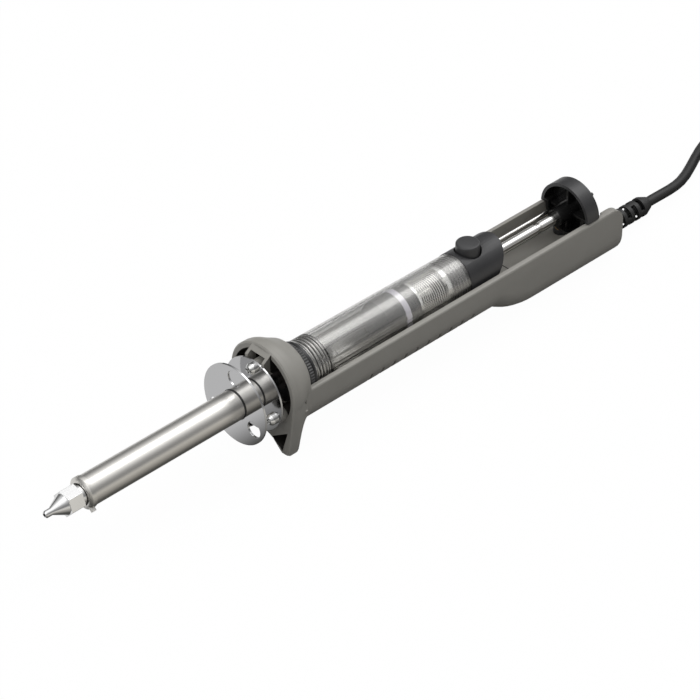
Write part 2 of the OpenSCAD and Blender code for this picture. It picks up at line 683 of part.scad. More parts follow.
// Shallow rings near the front of the clear cylinder
tube_ring_n = 4;
tube_ring_pitch = 1.7;
tube_ring_w = 0.7;
tube_ring_depth = 0.35;
module clear_cylinder() {
    rings_x = tube_x + front_lap + tube_ring_pitch;
    color([0.85, 0.88, 0.9, 0.35]) place() difference() {
        taper(tube_x, tube_end, tube_d1, tube_d2);
        shaft(tube_x - cut, tube_end + cut, bore_d);
        for (i = [0 : tube_ring_n - 1]) ring(rings_x + tube_ring_pitch * i, rings_x + tube_ring_pitch * i + tube_ring_w,
            tube_d1 + 2 * cut, tube_d1 - 2 * tube_ring_depth);
    }
}
piston_slack = 0.2;
seal_share = 0.52;
seal_x = piston_x + piston_len * seal_share;
groove_floor_d = 13.4;
module piston() {
    step_x = seal_x + seal_w + 2 * fit;
    color([0.16, 0.16, 0.17]) place() difference() {
        union() {
            shaft(piston_x, seal_x, bore_d - 2 * piston_slack);
            shaft(seal_x, step_x, groove_floor_d);
            shaft(step_x, step_x + seal_w, bore_d - 2 * piston_slack);
            shaft(step_x + seal_w, piston_x + piston_len, groove_floor_d);
        }
        shaft(piston_x + seal_w, piston_x + piston_len + cut, rod_d + 2 * fit);
    }
}
module piston_seal() {
    color([0.86, 0.85, 0.92]) place() ring(seal_x + fit, seal_x + fit + seal_w, bore_d - 2 * run, groove_floor_d + 2 * fit);
}
catch_w = latch_t + 0.5;
catch_d = 3.1;
module plunger_rod() {
    color("whitesmoke") place() difference() {
        shaft(piston_x + seal_w, knob_end - knob_wall, rod_d);
        ring(catch_x - catch_w / 2, catch_x + catch_w / 2, rod_d + 2 * cut, catch_d);
    }
}
nut_t = 1.6;
module rod_nut() {
    color("silver") place() difference() {
        hexagon(knob_end - knob_wall - nut_t, knob_end - knob_wall, hub_d - nut_t);
        shaft(knob_x, knob_end, rod_d + 2 * fit);
    }
}
guide_lap = 10;
module guide_rod() {
    color("silver") place() translate([0, guide_y, 0]) shaft(cap_end - guide_lap, knob_end - knob_wall / 2, guide_d);
}
module spring_seat_front() {
    color("silver") place() ring(seat_front_x, seat_front_x + seat_t, bore_d - 4 * piston_slack, rod_d + 2 * fit);
}
module spring_seat_rear() {
    color("silver") place() ring(seat_rear_x, spigot_x, bore_d - 4 * piston_slack, 2 * (guide_y + guide_d));
}
spring_rings = 8;
spring_end_gap = 0.02;
spring_path = let (r = spring_d / 2, n = spring_turns * spring_rings, x0 = spring_x + spring_wire_d / 2 + spring_end_gap,
    run_x = spring_len - spring_wire_d - 2 * spring_end_gap)
    [for (i = [0 : n]) [x0 + run_x * i / n, r * cos(360 * i / spring_rings), r * sin(360 * i / spring_rings)]];
echo(drive_spring_gap = coil_gap(spring_path, spring_rings, spring_wire_d));
module drive_spring() {
    color("lightsteelblue") place() sweep(spring_path, spring_wire_d / 2, 6, [1, 0, 0]);
}

// End cap, button and latch

button_fit = 0.2;
spring_pocket_d = 3.8;
spring_pocket_z = 8.9;
module end_cap() {
    color([0.2, 0.2, 0.21]) place() difference() {
        union() {
            shaft(spigot_x, tube_end + cut, bore_d - 2 * fit);
            translate([tube_end, 0, 0]) rotate([0, 90, 0]) rotate_extrude()
                square([cap_d / 2, cap_len]);
        }
        shaft(spigot_x - cut, cap_end + cut, rod_d + 2 * run);
        shaft(cap_end - hub_reach - loose, cap_end + cut, hub_d + 2 * button_fit);
        translate([0, guide_y, 0]) shaft(spigot_x - cut, cap_end + cut, guide_d + 2 * run);
        // The back end slants forward towards the bottom
        translate([cap_end, -cap_d, cap_d / 2]) rotate([0, cap_slant, 0]) translate([0, 0, -2 * cap_d]) cube([cap_d, 2 * cap_d, 3 * cap_d]);
        // Button bore, latch slot and the pocket of the button's spring
        translate([button_x, 0, button_base - button_travel - fit]) cylinder(d = button_d + 2 * button_gap, h = cap_d);
        translate([button_x - latch_t / 2 - fit, -latch_w / 2 - fit, latch_foot - button_travel - fit])
            cube([latch_t + 2 * fit, latch_w + 2 * fit, button_base - latch_foot]);
        translate([button_x, 0, -spring_pocket_z]) cylinder(d = spring_pocket_d, h = spring_pocket_z + latch_foot + fit);
    }
}
button_edge = 0.5;
module release_button() {
    h = button_top - button_base;
    color([0.24, 0.24, 0.25]) place() translate([button_x, 0, button_base]) rotate_extrude()
        polygon([[0, 0], [button_d / 2, 0], [button_d / 2, h - button_edge], [button_d / 2 - button_edge, h], [0, h]]);
}
module latch_plate() {
    x0 = button_x - latch_t / 2;
    eye = rod_d + 4 * fit;
    color("silver") place() difference() {
        translate([x0, -latch_w / 2, latch_foot]) cube([latch_t, latch_w, button_base - latch_foot]);
        for (z = [0, button_travel]) translate([0, 0, z]) shaft(x0 - cut, x0 + latch_t + cut, eye);
        translate([x0 - cut, -eye / 2, 0]) cube([latch_t + 2 * cut, eye, button_travel]);
    }
}
button_wire_d = 0.4;
button_coils = 3;
button_spring_d = 2.8;
module button_spring() {
    n = button_coils * spring_rings;
    z0 = -spring_pocket_z + button_wire_d / 2 + spring_end_gap;
    z1 = latch_foot - button_wire_d / 2 - spring_end_gap;
    path = [for (i = [0 : n]) [button_x + button_spring_d / 2 * cos(360 * i / spring_rings),
        button_spring_d / 2 * sin(360 * i / spring_rings), z0 + (z1 - z0) * i / n]];
    color("silver") place() sweep(path, button_wire_d / 2, 6);
}

// Push knob

knob_rib_t = 1;
knob_ribs = 4;
module knob_outline(inset) {
    difference() {
        circle(knob_r - inset);
        translate([-knob_r - cut, -knob_r - cut]) square([2 * (knob_r + cut), knob_r + cut + knob_gap + inset]);
    }
    intersection() {
        circle(knob_low_r - inset);
        translate([-knob_r, -knob_r]) square([2 * knob_r, knob_r + knob_gap + inset + cut]);
    }
}
module across(x0, x1) { translate([x0, 0, 0]) rotate([90, 0, 90]) linear_extrude(x1 - x0) children(); }
nub_turn = 40;
nub_d = 1.5;
module push_knob() {
    color([0.13, 0.13, 0.14]) place() difference() {
        union() {
            difference() {
                across(knob_x, knob_end) knob_outline(0);
                across(knob_x - cut, knob_end - knob_wall) knob_outline(knob_wall);
            }
            shaft(hub_x, knob_end - cut, hub_d);
            intersection() {
                for (i = [0 : knob_ribs - 1]) rotate([360 / knob_ribs * i, 0, 0])
                    translate([knob_x + knob_wall, -knob_rib_t / 2, 0]) cube([knob_len - knob_wall - fit, knob_rib_t, knob_r]);
                across(knob_x, knob_end) knob_outline(knob_wall / 2);
            }
            rotate([nub_turn, 0, 0]) translate([0, 0, knob_r - nub_d / 2 - fit]) shaft(knob_end - nub_d, knob_end + nub_d / 2, nub_d);
        }
        shaft(hub_x - cut, knob_end - knob_wall, rod_d + 2 * fit);
        hexagon(knob_end - knob_wall - nut_t - fit, knob_end - knob_wall + fit, hub_d - nut_t + 2 * fit);
        translate([0, guide_y, 0]) shaft(knob_x - cut, knob_end - knob_wall / 2, guide_d + 2 * fit);
    }
}

// Lead and plug

relief_taper = 3.6;
slot_w = 2.2;
slot_web = 2;
module strain_relief() {
    body_x = tail_x + relief_len - relief_taper;
    slot_pitch = (relief_len - relief_taper - slot_w) / relief_slots;
    color([0.09, 0.09, 0.09]) place() translate([0, 0, -cord_drop]) difference() {
        union() {
            shaft(relief_x, relief_x + flange_t, flange_d);
            shaft(relief_x + flange_t, body_x, relief_d);
            taper(body_x, relief_end, relief_d, cord_d + slot_w / 2);
        }
        shaft(relief_x - cut, relief_end + cut, cord_d + 2 * fit);
        shaft(tail_x + slot_w / 2, body_x, cord_d + slot_w);
        for (i = [0 : relief_slots - 1]) rotate([90 * (i % 2), 0, 0]) for (s = [-1, 1])
            translate([tail_x + slot_pitch * (i + 0.6), s > 0 ? slot_web / 2 : -slot_web / 2 - relief_d, -relief_d])
                cube([slot_w, relief_d, 2 * relief_d]);
    }
}
module inner_lead() {
    color([0.09, 0.09, 0.09]) place() translate([0, 0, -cord_drop]) shaft(clamp_x, relief_end, cord_d);
}

// Route of the lead, over the surface from the strain relief to the hank, then on to the plug
hank_c = [334, -8];
hank_run = 66;
hank_r = 24.5;
hank_pitch = 5.5;
hank_layer = 4.85;
hank_turns = 2;
hank_passes = 3;
hank_waist = 0.88;
hank_rings = 24;
hank_lift = 0.8;
low_z = hank_lift + cord_d / 2 - rest_h;
// The loops spiral in and out in turn, and climb a layer where the spiral reverses
function hank_in(t) = let (k = floor(t / hank_turns)) t < 0 ? t : (k % 2 == 0 ? t - k * hank_turns : (k + 1) * hank_turns - t);
function hank_up(t) = ease((t - hank_turns + 0.25) * 2) + ease((t - 2 * hank_turns + 0.25) * 2);
// Place on a loop by ring: two runs of four steps and two folds of eight
function hank_spot(j, r) = j < 2 ? [hank_run / 4 * j, r] : j < 10 ? [hank_run / 2 + r * sin(22.5 * (j - 2)), r * cos(22.5 * (j - 2))]
    : j <= 14 ? [hank_run / 4 * (12 - j), -r] : j < 22 ? [-hank_run / 2 - r * sin(22.5 * (j - 14)), -r * cos(22.5 * (j - 14))]
    : [hank_run / 4 * (j - 24), r];
function waist_at(x) = abs(x) < hank_run / 2 ? 1 - (1 - hank_waist) * pow(cos(180 * x / hank_run), 2) : 1;
function hank_point(i) = let (t = i / hank_rings, q = hank_spot((i + hank_rings) % hank_rings, hank_r - hank_pitch * hank_in(t)))
    [hank_c[0] + q[0], hank_c[1] + q[1] * waist_at(q[0]), low_z + hank_layer * hank_up(t)];
hank_path = [for (i = [-2 : hank_rings * hank_turns * hank_passes - 2]) hank_point(i)];
hank_start = hank_path[0];
hank_end = hank_path[len(hank_path) - 1];
echo(cord_hank_gap = coil_gap(hank_path, hank_rings, cord_d));
cord_route = [[relief_end, 0, -cord_drop], [236.2, 0, -cord_drop], [241, 0.1, -20], [246, 0.4, -20.4], [251, 1.2, -21], [256, 2.6, -21.7],
              [262, 4.9, -22.3], [268, 7.6, low_z], [274, 10.4, low_z], [280, 13, low_z], [286, 15.2, low_z], [291, 16.5, low_z],
              [hank_start[0] - cord_d, hank_start[1], low_z], hank_start];
function path_len(p, i = 0, s = 0) = i >= len(p) - 1 ? s : path_len(p, i + 1, s + norm(p[i + 1] - p[i]));
tie_w = 4;
tie_t = 0.5;
hank_top = low_z + 2 * hank_layer + cord_d / 2;
plug_z = hank_top + loose + tie_t + loose + plug_t / 2;
tail_run = 36;
tail_steps = 9;
tail_shift = -5;
tail_path = concat([hank_end], [for (i = [0 : tail_steps]) [hank_end[0] + cord_d + tail_run * i / tail_steps,
    hank_end[1] + tail_shift * ease(i / tail_steps), hank_end[2] + (plug_z - hank_end[2]) * ease(i / tail_steps)]],
    [[hank_end[0] + 2 * cord_d + tail_run, hank_end[1] + tail_shift, plug_z]]);
tail_end = tail_path[len(tail_path) - 1];
echo(cord_length = path_len(cord_route) + path_len(hank_path) + path_len(tail_path));
module cord_free() { color([0.09, 0.09, 0.09]) place() sweep(cord_route, cord_d / 2, 8); }
module cord_hank() { color([0.09, 0.09, 0.09]) place() sweep(hank_path, cord_d / 2, 6); }
module cord_tail() { color([0.09, 0.09, 0.09]) place() sweep(tail_path, cord_d / 2, 8); }
module cord_tie() {
    half = hank_r * hank_waist + cord_d / 2 + loose;
    h = hank_top - low_z + cord_d / 2 + 2 * loose;
    color([0.12, 0.12, 0.12]) place() translate([hank_c[0] - tie_w / 2, hank_c[1], low_z - cord_d / 2 - loose]) difference() {
        translate([0, -half - tie_t, -tie_t]) cube([tie_w, 2 * (half + tie_t), h + 2 * tie_t]);
        translate([-cut, -half, 0]) cube([tie_w + 2 * cut, 2 * half, h]);
    }
}
plug_boss_len = 8;
plug_boss_d = 9;
plug_corner = 4;
pin_step = 0.4;
plug_x = tail_end[0] + plug_boss_len;
echo(plug_face = [plug_x + plug_len, tail_end[1], plug_z, pin_gap, pin_len - pin_d / 4]);
module plug_at() { place() translate([plug_x, tail_end[1], plug_z]) rotate([0, 0, 90]) children(); }
module plug_body() {
    rear_w = plug_w * 0.45;
    color([0.1, 0.1, 0.1]) plug_at() difference() {
        union() {
            translate([0, 0, -plug_t / 2]) linear_extrude(plug_t) offset(plug_corner) offset(-plug_corner)
                polygon([[-rear_w / 2, 0], [rear_w / 2, 0], [plug_w / 2, -plug_len * 0.6], [plug_w / 2, -plug_len],
                         [-plug_w / 2, -plug_len], [-plug_w / 2, -plug_len * 0.6]]);
            rotate([-90, 0, 0]) translate([0, 0, -plug_corner]) cylinder(d = plug_boss_d, h = plug_boss_len + plug_corner);
        }
        for (s = [-1, 1]) translate([s * pin_gap / 2, -plug_len - cut, 0]) rotate([-90, 0, 0]) cylinder(d = pin_d - 2 * pin_step, h = plug_corner + cut);
    }
}
module plug_pins() {
    color("silver") plug_at() for (s = [-1, 1]) translate([s * pin_gap / 2, -plug_len + plug_corner, 0]) rotate([90, 0, 0]) {
        cylinder(d = pin_d - 2 * pin_step, h = plug_corner + cut);
        translate([0, 0, plug_corner]) cylinder(d = pin_d, h = pin_len - pin_d / 4);
        translate([0, 0, pin_len + plug_corner - pin_d / 4]) cylinder(d1 = pin_d, d2 = pin_d / 2, h = pin_d / 4);
    }
}

nozzle();
nozzle_set_screw();
barrel_ring();
heater_barrel();
heating_element();
suction_tube();
ceramic_bush();
shield_disc();
flange_plate();
flange_screws();
handle();
pump_bed();
cable_cover();
cover_cups();
cover_screws();
cord_clamp();
clamp_screws();
lead_wires();
front_ring();
nozzle_gasket();
clear_cylinder();
piston();
piston_seal();
plunger_rod();
rod_nut();
guide_rod();
spring_seat_front();
spring_seat_rear();
drive_spring();
end_cap();
release_button();
latch_plate();
button_spring();
push_knob();
strain_relief();
inner_lead();
cord_free();
cord_hank();
cord_tail();
cord_tie();
plug_body();
plug_pins();
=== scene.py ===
import logging
import math
from dataclasses import dataclass
from enum import Enum
from typing import Any, Iterable, Optional, Union

import bmesh
import bpy
from mathutils import Matrix, Vector


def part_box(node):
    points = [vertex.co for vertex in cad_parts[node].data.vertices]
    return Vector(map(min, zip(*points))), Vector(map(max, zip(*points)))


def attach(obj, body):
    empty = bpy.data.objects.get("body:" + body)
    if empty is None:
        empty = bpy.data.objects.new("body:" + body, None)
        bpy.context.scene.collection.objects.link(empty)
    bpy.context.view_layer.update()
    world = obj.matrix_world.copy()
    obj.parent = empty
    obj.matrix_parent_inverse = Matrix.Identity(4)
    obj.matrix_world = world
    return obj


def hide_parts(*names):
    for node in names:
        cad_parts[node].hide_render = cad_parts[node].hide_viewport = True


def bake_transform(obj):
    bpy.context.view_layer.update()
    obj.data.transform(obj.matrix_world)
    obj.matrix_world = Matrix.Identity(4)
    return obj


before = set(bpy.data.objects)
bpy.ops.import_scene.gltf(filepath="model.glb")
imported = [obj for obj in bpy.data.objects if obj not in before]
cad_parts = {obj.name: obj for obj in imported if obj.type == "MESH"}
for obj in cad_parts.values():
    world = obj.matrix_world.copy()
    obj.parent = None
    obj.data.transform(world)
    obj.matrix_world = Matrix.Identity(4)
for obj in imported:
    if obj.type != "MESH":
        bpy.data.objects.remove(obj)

# A desoldering iron with a spring pump. Sizes and places on it are in millimetres, behind the front of the shield disc,
# to the far side and above the pump's axis, until at() turns them into the row frame's metres.
LOG = logging.getLogger("desoldering_iron")
MM = 0.001
MID_X = 69.35
REST_H = 25.5
ARCH_LIFT = 2.1
COPY_MERGE = 0.000002
SPIN_MERGE = 0.000001
NODES: dict[str, bpy.types.Object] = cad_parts

Triple = tuple[float, float, float]
Outline = tuple[tuple[float, float], ...]
Term = Union["Wire", float]

GREY: Triple = (0.285, 0.275, 0.25)
LIGHTER_GREY: Triple = (0.335, 0.325, 0.30)
BLACK: Triple = (0.028, 0.028, 0.03)
LIGHTER_BLACK: Triple = (0.04, 0.04, 0.042)
EVEN: Triple = (1.0, 1.0, 1.0)
DRAWN: Triple = (0.02, 1.0, 1.0)


def at(x: float, y: float = 0.0, z: float = 0.0) -> Vector:
    """Turns a place on the tool into the row frame.

    Args:
        x: Distance behind the shield disc, in millimetres.
        y: Distance to the far side.
        z: Height above the pump's axis.

    Returns:
        The point in metres.
    """
    return Vector(((x - MID_X) * MM, y * MM, (z + REST_H) * MM))


def reach(node: str) -> tuple[float, float]:
    """Where a CAD node starts and ends along the tool.

    Args:
        node: The node.

    Returns:
        Both distances behind the shield disc, in millimetres.
    """
    low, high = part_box(node)
    return low[0] / MM + MID_X, high[0] / MM + MID_X


class Body(Enum):
    """The bodies that a piece can ride on."""

    BODY = "body"
    PLUNGER = "plunger"
    BUTTON = "button"


class Wire:
    """A shader socket that can be used in sums."""

    def __init__(self, graph: "Graph", socket: bpy.types.NodeSocket) -> None:
        """Keeps the graph and the socket.

        Args:
            graph: The graph that the socket belongs to.
            socket: An output socket.
        """
        self.graph = graph
        self.socket = socket

    def _maths(self, operation: str, *terms: Term) -> "Wire":
        """Adds a Math node.

        Args:
            operation: The node's operation.
            terms: Wires or numbers, in the node's order.

        Returns:
            The node's output.
        """
        return self.graph.node("ShaderNodeMath", {"operation": operation}, dict(enumerate(terms)))

    def __add__(self, other: Term) -> "Wire":
        """Sum."""
        return self._maths("ADD", self, other)

    def __radd__(self, other: Term) -> "Wire":
        """Sum with a number in front."""
        return self._maths("ADD", other, self)

    def __sub__(self, other: Term) -> "Wire":
        """Difference."""
        return self._maths("SUBTRACT", self, other)

    def __rsub__(self, other: Term) -> "Wire":
        """Difference from a number."""
        return self._maths("SUBTRACT", other, self)

    def __mul__(self, other: Term) -> "Wire":
        """Product."""
        return self._maths("MULTIPLY", self, other)

    def __rmul__(self, other: Term) -> "Wire":
        """Product with a number in front."""
        return self._maths("MULTIPLY", other, self)

    def __pow__(self, other: Term) -> "Wire":
        """Power."""
        return self._maths("POWER", self, other)

    def __truediv__(self, other: Term) -> "Wire":
        """Quotient."""
        return self._maths("DIVIDE", self, other)

    def sine(self) -> "Wire":
        """Sine of the value in radians."""
        return self._maths("SINE", self)

    def angle(self, other: "Wire") -> "Wire":
        """The angle in radians whose sine is to its cosine as this value is to the other."""
        return self._maths("ARCTAN2", self, other)

    def clamp(self, low: float, high: float) -> "Wire":
        """The value held between two limits."""
        return self._maths("MAXIMUM", self._maths("MINIMUM", self, high), low)

    def above(self, limit: float) -> "Wire":
        """One where the value passes the limit, else zero."""
        return self._maths("GREATER_THAN", self, limit)

    def below(self, limit: float) -> "Wire":
        """One where the value doesn't pass the limit, else zero."""
        return 1.0 - self.above(limit)

    def between(self, low: float, high: float) -> "Wire":
        """One between two limits, else zero."""
        return self.above(low) * self.below(high)


class Graph:
    """The nodes of one material or of the world."""

    noise_roughness: float = 0.55

    def __init__(self, tree: bpy.types.NodeTree) -> None:
        """Starts from an empty tree.

        Args:
            tree: The node tree to fill.
        """
        self.tree = tree
        tree.nodes.clear()

    def node(self, kind: str, settings: Optional[dict[str, Any]] = None, inputs: Optional[dict[Any, Any]] = None,
             output: Union[int, str] = 0) -> Wire:
        """Adds a node.

        Args:
            kind: The node's type.
            settings: Properties, set first; a list under "stops" fills a colour ramp.
            inputs: Values or wires by socket name or place.
            output: Name or place of the output to return.

        Returns:
            That output.
        """
        made = self.tree.nodes.new(kind)
        for name, value in (settings or {}).items():
            if name == "stops":
                ramp = made.color_ramp
                while len(ramp.elements) < len(value):
                    ramp.elements.new(0.5)
                for element, (place, colour) in zip(ramp.elements, value):
                    element.position = place
                    element.color = (*colour, 1.0)
            else:
                setattr(made, name, value)
        for name, value in (inputs or {}).items():
            self.put(made.inputs[name], value)
        return Wire(self, made.outputs[output])

    def put(self, socket: bpy.types.NodeSocket, value: Any) -> None:
        """Links a wire to a socket, or sets its value.

        Args:
            socket: An input socket.
            value: A wire, number or tuple.
        """
        if isinstance(value, Wire):
            self.tree.links.new(value.socket, socket)
        elif isinstance(value, tuple) and socket.type == "RGBA":
            socket.default_value = (*value, 1.0)
        else:
            socket.default_value = value

    def spot(self) -> Wire:
        """Object coordinates."""
        return self.node("ShaderNodeTexCoord", output="Object")

    def axes(self, vector: Wire) -> tuple[Wire, Wire, Wire]:
        """A vector's three parts."""
        parts = self.node("ShaderNodeSeparateXYZ", {}, {0: vector}).socket.node
        return Wire(self, parts.outputs["X"]), Wire(self, parts.outputs["Y"]), Wire(self, parts.outputs["Z"])

    def where(self) -> tuple[Wire, Wire, Wire]:
        """Place on the tool, in millimetres behind the shield disc, to the far side and above the pump's axis."""
        x, y, z = self.axes(self.spot())
        return x / MM + MID_X, y / MM, z / MM - REST_H

    def ray(self, kind: str) -> Wire:
        """One for rays of a kind, such as Camera, else zero."""
        return self.node("ShaderNodeLightPath", output=f"Is {kind} Ray")

    def noise(self, scale: float, stretch: Triple = EVEN, detail: float = 3.0) -> Wire:
        """Noise from 0 to 1 on the piece.

        Args:
            scale: Cells per metre.
            stretch: Scale along each axis.
            detail: Octaves.

        Returns:
            The noise.
        """
        place = self.node("ShaderNodeMapping", {}, {"Vector": self.spot(), "Scale": stretch})
        return self.node("ShaderNodeTexNoise", {}, {"Vector": place, "Scale": scale, "Detail": detail,
                                                    "Roughness": self.noise_roughness})

    def bump(self, height: Wire, depth: float) -> Wire:
        """A bumped normal.

        Args:
            height: Height from 0 to 1.
            depth: Depth of the full height, in metres.

        Returns:
            The normal.
        """
        return self.node("ShaderNodeBump", {}, {"Height": height, "Distance": depth, "Strength": 1.0})

    def mix(self, share: Wire, low: Union[Wire, Triple], high: Union[Wire, Triple]) -> Wire:
        """A colour between two.

        Args:
            share: Share of the second colour.
            low: First colour.
            high: Second colour.

        Returns:
            The mixed colour.
        """
        return self.node("ShaderNodeMix", {"data_type": "RGBA"}, {0: share, 6: low, 7: high}, 2)

    def ramp(self, stops: Iterable[tuple[float, Triple]], factor: Wire) -> Wire:
        """A colour ramp.

        Args:
            stops: Places from 0 to 1 and their colours.
            factor: The place to read.

        Returns:
            The colour.
        """
        return self.node("ShaderNodeValToRGB", {"stops": list(stops)}, {0: factor})

    def principled(self, **sockets: Any) -> Wire:
        """A Principled shader.

        Args:
            sockets: Values or wires, with underscores for the blanks in a socket's name.

        Returns:
            The shader.
        """
        named = {name.replace("_", " "): value for name, value in sockets.items()}
        return self.node("ShaderNodeBsdfPrincipled", {}, named)

    def either(self, share: Wire, first: Wire, second: Wire) -> Wire:
        """A mix of two shaders.

        Args:
            share: Share of the second shader.
            first: First shader.
            second: Second shader.

        Returns:
            The mixed shader.
        """
        return self.node("ShaderNodeMixShader", {}, {0: share, 1: first, 2: second})

    def end(self, shader: Wire, kind: str = "ShaderNodeOutputMaterial") -> None:
        """Joins a shader to the output.

        Args:
            shader: The shader.
            kind: The output node's type.
        """
        made = self.tree.nodes.new(kind)
        self.tree.links.new(shader.socket, made.inputs["Surface"])


def new_material(name: str) -> tuple[bpy.types.Material, Graph]:
    """Makes an empty material.

    Args:
        name: Its name.

    Returns:
        The material and its graph.
    """
    material = bpy.data.materials.new(name)
    material.use_nodes = True
    return material, Graph(material.node_tree)


@dataclass(frozen=True)
class Plastic:
    """Moulded plastic or rubber with clouds of a second tint and a fine grain, and in some kinds painted shade."""

    name: str
    slot: str
    colour: Triple
    tint: Triple
    roughness: float = 0.45
    spread: float = 0.1
    clouds: float = 90.0
    grain: float = 2600.0
    grain_spread: float = 0.06
    depth: float = 0.00003
    specular: float = 0.5
    painted_shade_colour: Triple = (0.01, 0.01, 0.01)
    painted_shade_gloss: float = 0.0

    def painted_shade(self, g: Graph) -> Optional[Wire]:
        """One where the plastic is darkened with painted shade, else zero, or nothing where it has none.

        Args:
            g: The material's graph.

        Returns:
            The mask.
        """
        return None

    def build(self) -> bpy.types.Material:
        """Makes the material.

        Returns:
            The material.
        """
        material, g = new_material(self.name)
        cloud = g.noise(self.clouds, detail=4.0)
        fine = g.noise(self.grain, detail=2.0)
        colour = g.mix(cloud, self.colour, self.tint)
        roughness = self.roughness + self.spread * (cloud - 0.5) + self.grain_spread * (fine - 0.5)
        painted_shade = self.painted_shade(g)
        if painted_shade is not None:
            # Painted shade: where the mask is set, the colour turns to the dark shade colour and the plastic grows
            # glossier.
            colour = g.mix(painted_shade, colour, self.painted_shade_colour)
            roughness = roughness - self.painted_shade_gloss * painted_shade
        g.end(g.principled(Base_Color=colour, Roughness=roughness, Normal=g.bump(fine, self.depth),
                           Specular_IOR_Level=self.specular))
        return material


@dataclass(frozen=True)
class HandlePlastic(Plastic):
    """The handle's plastic, darkened to black with painted shade in the guard's recess, in the pockets of its feet and
    in the seam of the trough.
    """

    painted_shade_colour: Triple = (0.022, 0.02, 0.018)
    recess: tuple[float, float] = (14.9, 23.7)
    recess_radius: float = 15.75
    wall_side: float = 12.7
    wall_start: float = 19.5
    pocket: tuple[float, float] = (14.5, 20.0)
    pocket_sides: tuple[Triple, ...] = ((0.959, -0.283, 17.7), (-0.598, -0.801, 13.9), (-0.561, 0.828, -18.7))
    seam: tuple[float, float] = (148.45, 149.0)
    seam_heights: tuple[float, float] = (-12.7, -11.4)
    seam_side: float = 10.9

    def painted_shade(self, g: Graph) -> Wire:
        """One where shade is painted, in the recess, the pockets and the seam, else zero.

        Args:
            g: The material's graph.

        Returns:
            The mask.
        """
        x, y, z = g.where()
        up = z - ARCH_LIFT
        side = (y * y) ** 0.5
        wall = side.above(self.wall_side) * x.above(self.wall_start)
        recess = x.between(*self.recess) * (y * y + up * up).below(self.recess_radius ** 2) * (1.0 - wall)
        pocket = x.between(*self.pocket)
        for across, rise, limit in self.pocket_sides:
            pocket = pocket * (side * across + z * rise).below(limit)
        seam = x.between(*self.seam) * z.between(*self.seam_heights) * side.below(self.seam_side)
        # Painted shade, black in the guard's recess, the foot pockets and the trough's seam.
        return (recess + pocket + seam).clamp(0.0, 1.0)


@dataclass(frozen=True)
class KnobPlastic(Plastic):
    """Black plastic, darkened with painted shade and glossier inside the knob."""

    painted_shade_gloss: float = 0.1
    hub_front: float = 174.9
    cup_back: float = 187.4
    cup_radius: float = 11.55

    def painted_shade(self, g: Graph) -> Wire:
        """One inside the knob's cup, where shade is painted, else zero.

        Args:
            g: The material's graph.

        Returns:
            The mask.
        """
        x, y, z = g.where()
        # Painted shade inside the knob's cup.
        return x.between(self.hub_front, self.cup_back) * (y * y + z * z).below(self.cup_radius ** 2)


@dataclass(frozen=True)
class KnurledPlastic(Plastic):
    """Black plastic with a knurled band whose ribs carry painted highlights, and a groove behind it darkened with
    painted shade.
    """

    knurl: tuple[float, float] = (29.5, 31.3)
    groove_end: float = 31.9
    ribs: int = 60
    rib_depth: float = 0.0003
    rib_highlight_colour: Triple = (0.12, 0.12, 0.12)
    groove_shade_colour: Triple = (0.004, 0.004, 0.004)

    def build(self) -> bpy.types.Material:
        """Makes the material.

        Returns:
            The material.
        """
        material, g = new_material(self.name)
        x, y, z = g.where()
        ridge = (z.angle(y) * float(self.ribs)).sine() * 0.5 + 0.5
        band = x.between(*self.knurl)
        groove = x.between(self.knurl[1], self.groove_end)
        fine = g.noise(self.grain, detail=2.0)
        # Painted highlights on the ribs of the knurl and painted shade in the groove behind it.
        ribbed = g.mix(band * ridge, self.colour, self.rib_highlight_colour)
        g.end(g.principled(Base_Color=g.mix(groove, ribbed, self.groove_shade_colour),
                           Roughness=self.roughness + self.spread * (fine - 0.5),
                           Normal=g.bump(band * ridge + (1.0 - band) * (1.0 - groove), self.rib_depth)))
        return material


@dataclass(frozen=True)
class Metal:
    """Turned, drawn or plated metal with fine marks along one axis."""

    name: str
    slot: str
    colour: Triple
    tint: Triple
    roughness: float = 0.2
    spread: float = 0.1
    marks: float = 900.0
    stretch: Triple = DRAWN
    depth: float = 0.000002
    clouds: float = 60.0
    cloud_share: float = 0.3
    least_roughness: float = 0.03

    def build(self) -> bpy.types.Material:
        """Makes the material.

        Returns:
            The material.
        """
        material, g = new_material(self.name)
        marks = g.noise(self.marks, self.stretch, 4.0)
        cloud = g.noise(self.clouds)
        roughness = self.roughness + self.spread * (marks - 0.5) + self.cloud_share * self.spread * (cloud - 0.5)
        g.end(g.principled(Base_Color=g.mix(cloud, self.colour, self.tint), Metallic=1.0,
                           Roughness=roughness.clamp(self.least_roughness, 1.0), Normal=g.bump(marks, self.depth)))
        return material


